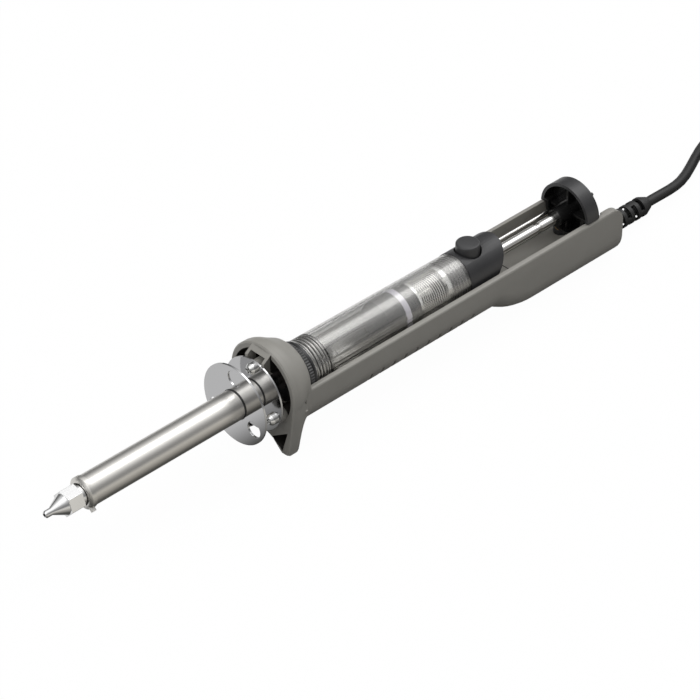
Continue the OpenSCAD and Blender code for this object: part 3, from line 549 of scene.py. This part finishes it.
@dataclass(frozen=True)
class ClearPlastic:
    """Clear moulded plastic with a silver sheen and a screw thread at each end, its grooves darkened with painted
    shade.
    """

    name: str
    slot: str
    colour: Triple
    roughness: float = 0.03
    thread_shade_colour: Triple = (0.12, 0.12, 0.12)
    ior: float = 1.42
    specular: float = 0.3
    flow: float = 40.0
    flow_stretch: Triple = (0.3, 1.0, 1.0)
    flow_spread: float = 0.03
    flow_bump: float = 0.1
    sheen_colour: Triple = (0.72, 0.71, 0.69)
    sheen_thread_shade: Triple = (0.08, 0.08, 0.08)
    sheen_roughness: float = 0.2
    sheen_spread: float = 0.08
    silver: float = 0.13
    thread_silver: float = 0.3
    edge_silver: float = 0.9
    edge_power: float = 2.2
    most_silver: float = 0.9
    pitch: float = 1.5
    front_thread: tuple[float, float] = (33.6, 41.0)
    back_thread: tuple[float, float] = (107.5, 116.6)
    back_share: float = 0.14
    groove_power: float = 3.0
    thread_depth: float = 0.0004
    shadow: Triple = (0.9, 0.9, 0.9)

    def build(self) -> bpy.types.Material:
        """Makes the material.

        Returns:
            The material.
        """
        material, g = new_material(self.name)
        flow = g.noise(self.flow, self.flow_stretch, 2.0)
        x, _, _ = g.where()
        edge = g.node("ShaderNodeLayerWeight", {}, {"Blend": 0.5}, "Facing") ** self.edge_power
        wave = (x * (math.tau / self.pitch)).sine() * 0.5 + 0.5
        threaded = x.between(*self.front_thread) + x.between(*self.back_thread) * self.back_share
        groove = threaded * wave ** self.groove_power
        normal = g.bump(threaded * wave + self.flow_bump * flow, self.thread_depth)
        # Painted shade darkens the thread grooves, in the clear body and in the sheen.
        clear = g.principled(Base_Color=g.mix(groove, self.colour, self.thread_shade_colour), Transmission_Weight=1.0,
                             IOR=self.ior, Specular_IOR_Level=self.specular, Normal=normal,
                             Roughness=self.roughness + self.flow_spread * (flow - 0.5))
        sheen = g.principled(Base_Color=g.mix(groove, self.sheen_colour, self.sheen_thread_shade), Metallic=1.0,
                             Roughness=self.sheen_roughness + self.sheen_spread * flow, Normal=normal)
        share = (self.silver + self.thread_silver * threaded + self.edge_silver * edge).clamp(0.0, self.most_silver)
        open_to_light = g.node("ShaderNodeBsdfTransparent", {}, {0: self.shadow})
        g.end(g.either(g.ray("Shadow"), g.either(share, clear, sheen), open_to_light))
        return material


class Finish(Enum):
    """The finishes of the tool."""

    GREY_PLASTIC = Plastic("grey_plastic", "grey_plastic", GREY, LIGHTER_GREY, 0.42, 0.12)
    HANDLE_PLASTIC = HandlePlastic("handle_plastic", "grey_plastic", GREY, LIGHTER_GREY, 0.42, 0.12)
    KNURLED_BLACK = KnurledPlastic("knurled_black", "black_plastic", BLACK, LIGHTER_BLACK, 0.34, 0.14)
    BLACK_PLASTIC = Plastic("black_plastic", "black_plastic", BLACK, LIGHTER_BLACK, 0.36, 0.14)
    KNOB_PLASTIC = KnobPlastic("knob_plastic", "black_plastic", BLACK, LIGHTER_BLACK, 0.36, 0.14)
    BUTTON_PLASTIC = Plastic("button_plastic", "black_plastic", (0.036, 0.036, 0.038), (0.048, 0.048, 0.05), 0.36,
                             0.14)
    INNER_BLACK = Plastic("inner_black", "black_plastic", (0.018, 0.018, 0.02), (0.03, 0.03, 0.032), 0.3, 0.1)
    BLACK_RUBBER = Plastic("black_rubber", "black_rubber", (0.016, 0.016, 0.016), (0.024, 0.024, 0.024), 0.5, 0.1)
    PALE_SEAL = Plastic("pale_seal", "pale_seal", (0.72, 0.70, 0.80), (0.78, 0.76, 0.84), 0.4, 0.1)
    CERAMIC = Plastic("ceramic", "ceramic", (0.85, 0.82, 0.75), (0.9, 0.88, 0.82), 0.6, 0.1)
    WIRE_SLEEVE = Plastic("wire_sleeve", "wire_sleeve", (0.045, 0.03, 0.028), (0.06, 0.04, 0.036), 0.5, 0.1)
    SILICONE = Plastic("silicone", "silicone", (0.03, 0.022, 0.02), (0.045, 0.03, 0.026), 0.5, 0.1)
    BARREL_STEEL = Metal("barrel_steel", "steel", (0.80, 0.785, 0.75), (0.74, 0.725, 0.69), 0.33, 0.08,
                         depth=0.0000008)
    SPRING_STEEL = Metal("spring_steel", "steel", (0.97, 0.95, 0.92), (0.93, 0.91, 0.88), 0.3, 0.06)
    PLATED_NOZZLE = Metal("plated_nozzle", "plated_nozzle", (0.90, 0.90, 0.90), (0.82, 0.82, 0.82), 0.14, 0.08)
    POLISHED_STEEL = Metal("polished_steel", "polished_steel", (0.86, 0.85, 0.83), (0.80, 0.79, 0.77), 0.12, 0.05)
    DISC_STEEL = Metal("disc_steel", "polished_steel", (0.57, 0.57, 0.575), (0.54, 0.54, 0.545), 0.06, 0.03, 500.0,
                       EVEN)
    PLATED_SCREW = Metal("plated_screw", "plated_screw", (0.85, 0.85, 0.84), (0.78, 0.78, 0.77), 0.13, 0.08)
    STEEL = Metal("steel", "steel", (0.72, 0.71, 0.69), (0.66, 0.65, 0.63), 0.2, 0.1)
    DARK_SCREW = Metal("dark_screw", "dark_screw", (0.2, 0.2, 0.2), (0.26, 0.26, 0.26), 0.3, 0.1)
    BRASS_SCREW = Metal("brass_screw", "brass_screw", (0.72, 0.55, 0.30), (0.66, 0.5, 0.28), 0.22, 0.1)
    PLATED_PIN = Metal("plated_pin", "plated_pin", (0.78, 0.77, 0.74), (0.72, 0.71, 0.68), 0.18, 0.1)
    CLEAR_PLASTIC = ClearPlastic("clear_plastic", "clear_plastic", (0.93, 0.93, 0.92))


class Shop:
    """Makes pieces, dresses them and sets them on their bodies."""

    made: dict[Finish, bpy.types.Material] = {}

    @classmethod
    def dress(cls, piece: bpy.types.Object, finish: Finish) -> None:
        """Gives a piece one finish all over.

        Args:
            piece: The piece.
            finish: Its finish.
        """
        if finish not in cls.made:
            cls.made[finish] = finish.value.build()
        piece.data.materials.clear()
        piece.data.materials.append(cls.made[finish])
        LOG.info("%s: %s", piece.name, finish.value.name)

    @classmethod
    def piece(cls, name: str, bm: bmesh.types.BMesh, finish: Finish, body: Optional[Body], replaces: Iterable[str] = (),
              sharp: float = 35.0) -> bpy.types.Object:
        """Turns a bmesh into a finished piece.

        Args:
            name: The piece's name.
            bm: Its mesh, in metres in the row frame; it is freed.
            finish: Its finish.
            body: The body that it rides on, or none.
            replaces: CAD nodes that it stands for.
            sharp: Angle in degrees past which an edge stays sharp.

        Returns:
            The piece.
        """
        mesh = bpy.data.meshes.new(name)
        bm.to_mesh(mesh)
        bm.free()
        mesh.shade_smooth()
        mesh.set_sharp_from_angle(angle=math.radians(sharp))
        made = bpy.data.objects.new(name, mesh)
        bpy.context.scene.collection.objects.link(made)
        cls.dress(made, finish)
        if replaces:
            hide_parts(*replaces)
        if body:
            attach(made, body.value)
        return made

    @staticmethod
    def copy_of(node: str, flat: float = 0.4) -> bmesh.types.BMesh:
        """The merged faces of a CAD node.

        Args:
            node: The node.
            flat: Angle in degrees under which faces join.

        Returns:
            A new bmesh.
        """
        bm = bmesh.new()
        bm.from_mesh(NODES[node].data)
        bmesh.ops.remove_doubles(bm, verts=bm.verts, dist=COPY_MERGE)
        bmesh.ops.dissolve_limit(bm, angle_limit=math.radians(flat), verts=bm.verts, edges=bm.edges)
        return bm

    @staticmethod
    def turned(outline: Iterable[tuple[float, float]], steps: int = 96) -> bmesh.types.BMesh:
        """A closed ring turned about the pump's axis.

        Args:
            outline: Places along the tool and radii of its section, in millimetres.
            steps: Steps of the full turn.

        Returns:
            A new bmesh.
        """
        bm = bmesh.new()
        verts = [bm.verts.new(at(x, 0.0, r)) for x, r in outline]
        edges = [bm.edges.new((a, b)) for a, b in zip(verts, verts[1:] + verts[:1])]
        bmesh.ops.spin(bm, geom=verts + edges, cent=at(0), axis=(1, 0, 0), angle=math.tau, steps=steps, use_merge=True)
        bmesh.ops.remove_doubles(bm, verts=bm.verts, dist=SPIN_MERGE)
        bmesh.ops.recalc_face_normals(bm, faces=bm.faces)
        return bm

    @staticmethod
    def soften(piece: bpy.types.Object, width: float, sharp: float) -> None:
        """Rounds a piece's sharp edges.

        Args:
            piece: The piece.
            width: Width of the rounding, in millimetres.
            sharp: Least angle of an edge that is rounded, in degrees.
        """
        bevel = piece.modifiers.new("edge", "BEVEL")
        bevel.width = width * MM
        bevel.segments = 2
        bevel.limit_method = "ANGLE"
        bevel.angle_limit = math.radians(sharp)
        bevel.use_clamp_overlap = True
        bevel.harden_normals = True


@dataclass(frozen=True)
class Part:
    """A CAD node and how it is finished.

    With an edge, a copy with smooth curves and edges rounded by so many millimetres replaces the node. Without one, the
    node itself gets its finish.
    """

    node: str
    finish: Finish
    edge: Optional[float] = None
    body: Body = Body.BODY
    sharp: float = 35.0

    def show(self) -> None:
        """Finishes the part."""
        if self.edge is None:
            Shop.dress(NODES[self.node], self.finish)
            return
        made = Shop.piece(self.node + "_finished", Shop.copy_of(self.node), self.finish, self.body, [self.node],
                          self.sharp)
        if self.edge > 0:
            Shop.soften(made, self.edge, self.sharp)


@dataclass(frozen=True)
class Lamp:
    """A soft lamp, its place in metres."""

    name: str
    place: Triple
    size: tuple[float, float]
    power: float
    aim: Triple = (0.0, 0.0, 0.02)

    def hang(self) -> None:
        """Hangs the lamp."""
        data = bpy.data.lights.new(self.name, "AREA")
        data.shape = "RECTANGLE"
        data.size, data.size_y = self.size
        data.energy = self.power
        made = bpy.data.objects.new(self.name, data)
        made.location = self.place
        made.rotation_mode = "QUATERNION"
        made.rotation_quaternion = (Vector(self.aim) - Vector(self.place)).to_track_quat("-Z", "Y")
        bpy.context.scene.collection.objects.link(made)


@dataclass
class Studio:
    """Camera, floor and light.

    The floor's mirror image carries a painted shadow across the tool, darkest under it, ramped by metres to the far
    side plus a half.
    The room's level goes round the tool, from the near horizon at 0 over the top to the far horizon at 1.
    """

    azimuth: float = -44.2
    elevation: float = 37.0
    lens: float = 180.0
    sensor: float = 36.0
    clip: tuple[float, float] = (0.05, 50.0)
    camera_place: Triple = (-689.29, -770.77, 804.08)
    floor_size: float = 8.0
    floor_drop: float = 0.0002
    floor_colour: Triple = (0.33, 0.33, 0.33)
    floor_white: Triple = (1.05, 1.05, 1.05)
    floor_seen: float = 0.93
    floor_mirror_shadow_ramp: tuple[tuple[float, Triple], ...] = (
        (0.0, (0.60, 0.58, 0.54)), (0.30, (0.74, 0.72, 0.67)), (0.42, (0.60, 0.58, 0.54)), (0.47, (0.30, 0.29, 0.27)),
        (0.485, (0.06, 0.06, 0.055)), (0.5, (0.06, 0.06, 0.055)), (0.515, (0.8, 0.8, 0.8)), (1.0, (0.85, 0.85, 0.85)))
    room_level: float = 0.95
    room_mirror: Outline = (
        (0.0, 0.50), (0.06, 0.22), (0.13, 0.26), (0.20, 0.40), (0.26, 0.60), (0.34, 1.05), (0.48, 1.32), (0.58, 1.2),
        (0.67, 0.80), (0.75, 0.50), (0.85, 0.20), (1.0, 0.14))
    lamps: tuple[Lamp, ...] = (Lamp("key", (0.75, 0.0, 1.12), (0.7, 0.9), 3.0),
                               Lamp("front", (-0.9, 0.25, 0.9), (0.5, 0.5), 1.5))

    def build(self) -> None:
        """Sets up the studio."""
        bpy.context.scene.view_settings.view_transform = "Standard"
        self.camera()
        self.floor()
        self.room()
        for lamp in self.lamps:
            lamp.hang()

    def camera(self) -> None:
        """Places the camera where the photograph was taken."""
        data = bpy.data.cameras.new("camera")
        data.lens = self.lens
        data.sensor_width = self.sensor
        data.clip_start, data.clip_end = self.clip
        made = bpy.data.objects.new("camera", data)
        bpy.context.scene.collection.objects.link(made)
        a, e = math.radians(self.azimuth), math.radians(self.elevation)
        back = Vector((math.sin(a) * math.cos(e), -math.cos(a) * math.cos(e), math.sin(e)))
        made.rotation_mode = "QUATERNION"
        made.rotation_quaternion = (-back).to_track_quat("-Z", "Y")
        made.location = at(*self.camera_place)
        bpy.context.scene.camera = made

    def floor(self) -> None:
        """Lays the pale floor, which looks white and keeps a faint shadow, and shows a painted shadow under the tool in
        its mirror image.
        """
        bm = bmesh.new()
        bmesh.ops.create_grid(bm, x_segments=1, y_segments=1, size=self.floor_size / 2)
        mesh = bpy.data.meshes.new("floor")
        bm.to_mesh(mesh)
        bm.free()
        made = bpy.data.objects.new("floor", mesh)
        made.location = (0.0, 0.0, -self.floor_drop)
        bpy.context.scene.collection.objects.link(made)
        material, g = new_material("floor")
        diffuse = g.node("ShaderNodeBsdfDiffuse", {}, {"Color": self.floor_colour})
        _, across, _ = g.axes(g.spot())
        mirrored = g.ray("Glossy")
        # Painted shadow: in reflections the floor's colour darkens to near black under the tool.
        colour = g.mix(mirrored, self.floor_white, g.ramp(self.floor_mirror_shadow_ramp, across + 0.5))
        glow = g.node("ShaderNodeEmission", {}, {"Color": colour, "Strength": 1.0})
        seen = (g.ray("Camera") + g.ray("Transmission") + mirrored).clamp(0.0, 1.0) * self.floor_seen
        g.end(g.either(seen, diffuse, glow))
        mesh.materials.append(material)

    def room(self) -> None:
        """Lights the room evenly, with darker bands low down that show in metal, and a white background."""
        world = bpy.data.worlds.new("room")
        bpy.context.scene.world = world
        world.use_nodes = True
        g = Graph(world.node_tree)
        _, across, up = g.axes(g.node("ShaderNodeTexCoord", output="Generated"))
        turn = up.angle(across * -1.0) / math.pi
        level = g.ramp(((spot, (level,) * 3) for spot, level in self.room_mirror), turn)
        lit = g.node("ShaderNodeBackground", {}, {0: level, 1: self.room_level})
        white = g.node("ShaderNodeBackground", {}, {0: (1.0, 1.0, 1.0), 1: 1.0})
        seen = (g.ray("Camera") + g.ray("Transmission")).clamp(0.0, 1.0)
        g.end(g.either(seen, lit, white), "ShaderNodeOutputWorld")


@dataclass
class Lead:
    """The mains lead from the strain relief to its plug, its free length folded into a hank."""

    diameter: float = 4.4
    roundness: int = 5
    lift: float = 0.8
    relief_end: float = 231.6
    relief_height: float = -19.8
    sinking: tuple[Triple, ...] = ((236.2, 0, -19.8), (241, 0.1, -20), (246, 0.4, -20.4), (251, 1.2, -21),
                                   (256, 2.6, -21.7), (262, 4.9, -22.3))
    lying: Outline = ((268, 7.6), (274, 10.4), (280, 13), (286, 15.2), (291, 16.5))
    hank_middle: tuple[float, float] = (334.0, -8.0)
    hank_run: float = 66.0
    hank_radius: float = 24.5
    hank_pitch: float = 5.5
    hank_layer: float = 4.85
    hank_passes: int = 3
    hank_turns: int = 2
    hank_waist: float = 0.88
    rings: int = 24
    climb_lead: float = 0.25
    climb_rate: float = 2.0
    tail_steps: int = 10
    tail_pitch: float = 4.0
    tail_shift: float = 5.0
    tail_end: float = 40.4
    plug_height: float = -2.7
    plug_edge: float = 0.8

    @staticmethod
    def ease(t: float) -> float:
        """A smooth step from 0 to 1."""
        u = min(max(t, 0.0), 1.0)
        return u * u * (3 - 2 * u)

    @property
    def low(self) -> float:
        """Height of the lead's middle where it lies on the bench."""
        return self.lift + self.diameter / 2 - REST_H

    def inset(self, t: float) -> float:
        """How many pitches a turn lies inside the outermost one.

        Args:
            t: Turns wound so far.

        Returns:
            The number of pitches.
        """
        if t < 0:
            return t
        k = math.floor(t / self.hank_turns)
        return t - self.hank_turns * k if k % 2 == 0 else self.hank_turns * (k + 1) - t

    def spot(self, i: int) -> Triple:
        """A point of the hank's middle line.

        Args:
            i: The point's number, from the start of the first turn.

        Returns:
            Its place on the tool.
        """
        t = i / self.rings
        r = self.hank_radius - self.hank_pitch * self.inset(t)
        j = (i + self.rings) % self.rings
        half = self.hank_run / 2
        side, bend = self.rings // 12, self.rings // 3
        if j < side:
            x, y = half * j / side, r
        elif j < side + bend:
            a = math.pi * (j - side) / bend
            x, y = half + r * math.sin(a), r * math.cos(a)
        elif j <= 3 * side + bend:
            x, y = half * (self.rings / 2 - j) / side, -r
        elif j < 3 * side + 2 * bend:
            a = math.pi * (j - 3 * side - bend) / bend
            x, y = -half - r * math.sin(a), -r * math.cos(a)
        else:
            x, y = half * (j - self.rings) / side, r
        if abs(x) < half:
            y *= 1 - (1 - self.hank_waist) * math.cos(math.pi * x / self.hank_run) ** 2
        layers = sum(self.ease((t - self.hank_turns * k + self.climb_lead) * self.climb_rate)
                     for k in range(1, self.hank_passes))
        return self.hank_middle[0] + x, self.hank_middle[1] + y, self.low + self.hank_layer * layers

    def route(self) -> list[Vector]:
        """The points of the lead's middle line.

        Returns:
            The points, in the row frame.
        """
        hank = [self.spot(i) for i in range(-2, self.rings * self.hank_turns * self.hank_passes - 1)]
        start, end = hank[0], hank[-1]
        free = [(self.relief_end, 0.0, self.relief_height), *self.sinking, *((x, y, self.low) for x, y in self.lying),
                (start[0] - self.diameter, start[1], self.low)]
        tail = []
        for i in range(self.tail_steps):
            share = self.ease(i / (self.tail_steps - 1))
            tail.append((end[0] + self.diameter + self.tail_pitch * i, end[1] - self.tail_shift * share,
                         end[2] + (self.plug_height - end[2]) * share))
        tail.append((end[0] + self.diameter + self.tail_end, end[1] - self.tail_shift, self.plug_height))
        return [at(*p) for p in free + hank + tail]

    def tube(self, points: list[Vector]) -> bpy.types.Object:
        """A round tube along a line.

        Args:
            points: The line's points, in the row frame.

        Returns:
            The tube, as a curve.
        """
        curve = bpy.data.curves.new("mains_lead", "CURVE")
        curve.dimensions = "3D"
        curve.bevel_depth = self.diameter / 2 * MM
        curve.bevel_resolution = self.roundness
        curve.use_fill_caps = True
        line = curve.splines.new("POLY")
        line.points.add(len(points) - 1)
        for spot, p in zip(line.points, points):
            spot.co = (*p, 1.0)
        line.use_smooth = True
        made = bpy.data.objects.new("mains_lead", curve)
        bpy.context.scene.collection.objects.link(made)
        return made

    def build(self) -> None:
        """Makes the lead and finishes its plug."""
        points = self.route()
        lead = self.tube(points)
        Shop.dress(lead, Finish.BLACK_RUBBER)
        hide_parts("cord_free", "cord_hank", "cord_tail")
        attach(lead, Body.BODY.value)
        for part in (Part("plug_body", Finish.BLACK_RUBBER, self.plug_edge), Part("plug_pins", Finish.PLATED_PIN),
                     Part("cord_tie", Finish.BLACK_PLASTIC)):
            part.show()


@dataclass
class HotEnd:
    """Nozzle, barrel, shield disc and flange."""

    shade_ring_gap: float = 0.02
    shade_ring_sink: float = 0.1
    shade_ring_front_rise: float = 0.08
    shade_ring_back_rise: float = 0.22
    front_shade_ring: float = 0.43
    back_shade_ring: float = 0.38
    parts: tuple[Part, ...] = (
        Part("nozzle", Finish.PLATED_NOZZLE, 0.15), Part("barrel_ring", Finish.BARREL_STEEL, 0.12),
        Part("heater_barrel", Finish.BARREL_STEEL, 0.1), Part("shield_disc", Finish.DISC_STEEL, 0.12),
        Part("flange_plate", Finish.DISC_STEEL, 0.12), Part("flange_screws", Finish.PLATED_SCREW, 0.12),
        Part("nozzle_set_screw", Finish.DARK_SCREW), Part("heating_element", Finish.CERAMIC),
        Part("suction_tube", Finish.STEEL), Part("ceramic_bush", Finish.CERAMIC))

    def shade_rings(self) -> tuple[tuple[str, float, float], ...]:
        """The dark rings of painted shade where the barrel passes the disc and the plate.

        Returns:
            Each one's name, front and back.
        """
        disc, plate = reach("shield_disc"), reach("flange_plate")
        gap, wide, narrow = self.shade_ring_gap, self.front_shade_ring, self.back_shade_ring
        return (("barrel_front_shade_ring", disc[0] - gap - wide, disc[0] - gap),
                ("barrel_back_shade_ring", disc[1] + gap, disc[1] + gap + narrow),
                ("barrel_plate_shade_ring", plate[0] - gap - narrow, plate[0] - gap))

    def build(self) -> None:
        """Finishes the hot end and lays dark rings of painted shade where the barrel passes the disc and the plate."""
        for part in self.parts:
            part.show()
        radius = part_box("heater_barrel")[1][2] / MM - REST_H
        foot, front_top, back_top = radius - self.shade_ring_sink, radius + self.shade_ring_front_rise, radius + self.shade_ring_back_rise
        for name, front, back in self.shade_rings():
            # Each ring is a dark piece of painted shade where the barrel meets the disc or the plate.
            section = ((front, foot), (front, front_top), (back, back_top), (back, foot))
            Shop.piece(name, Shop.turned(section), Finish.INNER_BLACK, Body.BODY)


@dataclass
class Handle:
    """The open grey handle and what lies in it."""

    edge: float = 0.25
    sharp: float = 32.0
    flat: float = 0.2
    shoulder: Outline = (
        (15.0, 17.3), (16.5, 17.59), (17.7, 17.57), (19.0, 17.3), (20.5, 16.65), (22.0, 15.8), (23.5, 15.0),
        (25.0, 14.3), (26.4, 13.6), (27.1, 12.9), (27.2, 12.2), (27.2, 9.0), (25.8, 9.0), (25.8, 12.2), (23.0, 13.6),
        (20.0, 15.4), (17.0, 16.6), (15.0, 17.0))
    shoulder_sweep: float = 238.0
    shoulder_steps: int = 72
    shoulder_sharp: float = 40.0
    ribs_low: Triple = (18.3, -5.0, 13.5)
    ribs_high: Triple = (24.2, 5.0, 19.5)
    web_side: float = 4.8
    web_foot: float = 16.9
    cut_place: Triple = (18.4, 0.0, 18.4)
    cut_lean: Triple = (0.48, 0.0, 0.88)
    parts: tuple[Part, ...] = (
        Part("pump_bed", Finish.HANDLE_PLASTIC, 0.2), Part("cable_cover", Finish.GREY_PLASTIC, 0.2),
        Part("cover_cups", Finish.BLACK_PLASTIC, 0.12), Part("cover_screws", Finish.BRASS_SCREW, 0.1),
        Part("cord_clamp", Finish.BLACK_PLASTIC), Part("clamp_screws", Finish.PLATED_SCREW),
        Part("lead_wires", Finish.WIRE_SLEEVE), Part("strain_relief", Finish.BLACK_RUBBER, 0.25),
        Part("inner_lead", Finish.BLACK_RUBBER))

    def closed_shoulder(self) -> bmesh.types.BMesh:
        """The guard's shoulder, closed over the back of its recess.

        Returns:
            A new bmesh.
        """
        bm = bmesh.new()
        start = Matrix.Rotation(math.radians(-self.shoulder_sweep / 2), 4, "X")
        centre = at(0.0, 0.0, ARCH_LIFT)
        verts = [bm.verts.new(centre + start @ Vector((x * MM, 0.0, r * MM))) for x, r in self.shoulder]
        face = bm.faces.new(verts)
        bmesh.ops.spin(bm, geom=[face, *face.edges, *verts], cent=centre, axis=(1, 0, 0),
                       angle=math.radians(self.shoulder_sweep), steps=self.shoulder_steps)
        bmesh.ops.remove_doubles(bm, verts=bm.verts, dist=SPIN_MERGE)
        bmesh.ops.recalc_face_normals(bm, faces=bm.faces)
        return bm

    def trimmed(self) -> bmesh.types.BMesh:
        """The handle, with the backs of the upper post's ribs and web cut down under the shoulder.

        Returns:
            A new bmesh.
        """
        bm = Shop.copy_of("handle", self.flat)
        low, high, foot = at(*self.ribs_low), at(*self.ribs_high), at(0.0, 0.0, self.web_foot).z
        ribs = {f for f in bm.faces if all(low[i] <= v.co[i] <= high[i] for v in f.verts for i in range(3))}
        near = [f for f in bm.faces if f in ribs or any(
            low.x <= v.co.x <= high.x and abs(v.co.y) < self.web_side * MM and v.co.z > foot for v in f.verts)]
        edges = dict.fromkeys(e for f in near for e in f.edges)
        verts = dict.fromkeys(v for f in near for v in f.verts)
        bmesh.ops.bisect_plane(bm, geom=[*verts, *edges, *near], plane_co=at(*self.cut_place), plane_no=self.cut_lean,
                               clear_outer=True)
        return bm

    def build(self) -> None:
        """Finishes the handle."""
        made = Shop.piece("handle_finished", self.trimmed(), Finish.HANDLE_PLASTIC, Body.BODY, ["handle"], self.sharp)
        Shop.soften(made, self.edge, self.sharp)
        Shop.piece("guard_shoulder", self.closed_shoulder(), Finish.GREY_PLASTIC, Body.BODY,
                   sharp=self.shoulder_sharp)
        for part in self.parts:
            part.show()


@dataclass
class Pump:
    """Clear cylinder, piston, springs and end cap."""

    coil_gap: float = 0.4
    coil_radius: float = 7.0
    coil_turns: int = 12
    coil_steps: int = 40
    wire: float = 0.34
    wire_sides: int = 7
    wire_sharp: float = 60.0
    drive_gap: float = 0.2
    button_x: float = 124.6
    lift_ends: tuple[float, float] = (-5.7, -8.8)
    parts: tuple[Part, ...] = (
        Part("front_ring", Finish.KNURLED_BLACK, 0.2), Part("nozzle_gasket", Finish.SILICONE),
        Part("clear_cylinder", Finish.CLEAR_PLASTIC, 0.0), Part("end_cap", Finish.BLACK_PLASTIC, 0.2),
        Part("release_button", Finish.BUTTON_PLASTIC, 0.3, Body.BUTTON), Part("latch_plate", Finish.STEEL),
        Part("spring_seat_rear", Finish.PLATED_SCREW), Part("piston", Finish.INNER_BLACK, 0.2, Body.PLUNGER),
        Part("piston_seal", Finish.PALE_SEAL), Part("spring_seat_front", Finish.PLATED_SCREW))

    @staticmethod
    def seats() -> tuple[float, float]:
        """Where the drive spring's seats face each other."""
        return reach("spring_seat_front")[1], reach("spring_seat_rear")[0]

    def coil(self) -> bmesh.types.BMesh:
        """The fine drive spring, wound from one round section.

        Returns:
            A new bmesh.
        """
        bm = bmesh.new()
        front, back = self.seats()
        first = at(front + self.coil_gap + self.wire / 2, 0.0, self.coil_radius)
        section = Matrix.Translation(first) @ Matrix.Rotation(math.pi / 2, 4, "X")
        bmesh.ops.create_circle(bm, cap_ends=True, segments=self.wire_sides, radius=self.wire / 2 * MM, matrix=section)
        steps = self.coil_turns * self.coil_steps
        run = (back - front - 2 * self.coil_gap - self.wire) * MM
        bmesh.ops.spin(bm, geom=bm.verts[:] + bm.edges[:] + bm.faces[:], cent=at(0), axis=(1, 0, 0),
                       dvec=(run / steps, 0, 0), angle=math.tau * self.coil_turns, steps=steps)
        bmesh.ops.holes_fill(bm, edges=[e for e in bm.edges if e.is_boundary], sides=0)
        bmesh.ops.recalc_face_normals(bm, faces=bm.faces)
        return bm

    def build(self) -> None:
        """Finishes the pump and remakes both springs, which ride on no body."""
        for part in self.parts:
            part.show()
        lift = Shop.piece("button_spring_finished", Shop.copy_of("button_spring", 0.0), Finish.STEEL, None,
                          ["button_spring"], self.wire_sharp)
        top, foot = self.lift_ends
        at(self.button_x, 0.0, top)
        at(self.button_x, 0.0, foot)
        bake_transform(lift)
        drive = Shop.piece("drive_spring_finished", self.coil(), Finish.SPRING_STEEL, None, ["drive_spring"],
                           self.wire_sharp)
        front, back = self.seats()
        at(front + self.drive_gap)
        at(back - self.drive_gap)
        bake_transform(drive)


@dataclass
class Plunger:
    """Rod, guide rod and push knob."""

    parts: tuple[Part, ...] = (
        Part("plunger_rod", Finish.POLISHED_STEEL, 0.15, Body.PLUNGER),
        Part("guide_rod", Finish.POLISHED_STEEL, 0.1, Body.PLUNGER),
        Part("rod_nut", Finish.PLATED_SCREW, 0.1, Body.PLUNGER),
        Part("push_knob", Finish.KNOB_PLASTIC, 0.25, Body.PLUNGER))

    def build(self) -> None:
        """Finishes the plunger."""
        for part in self.parts:
            part.show()


def main() -> None:
    """Builds the scene in order."""
    logging.basicConfig(level=logging.INFO, format="%(message)s")
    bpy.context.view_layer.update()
    for section in (Studio(), Lead(), HotEnd(), Handle(), Pump(), Plunger()):
        section.build()


if __name__ == "__main__":
    main()
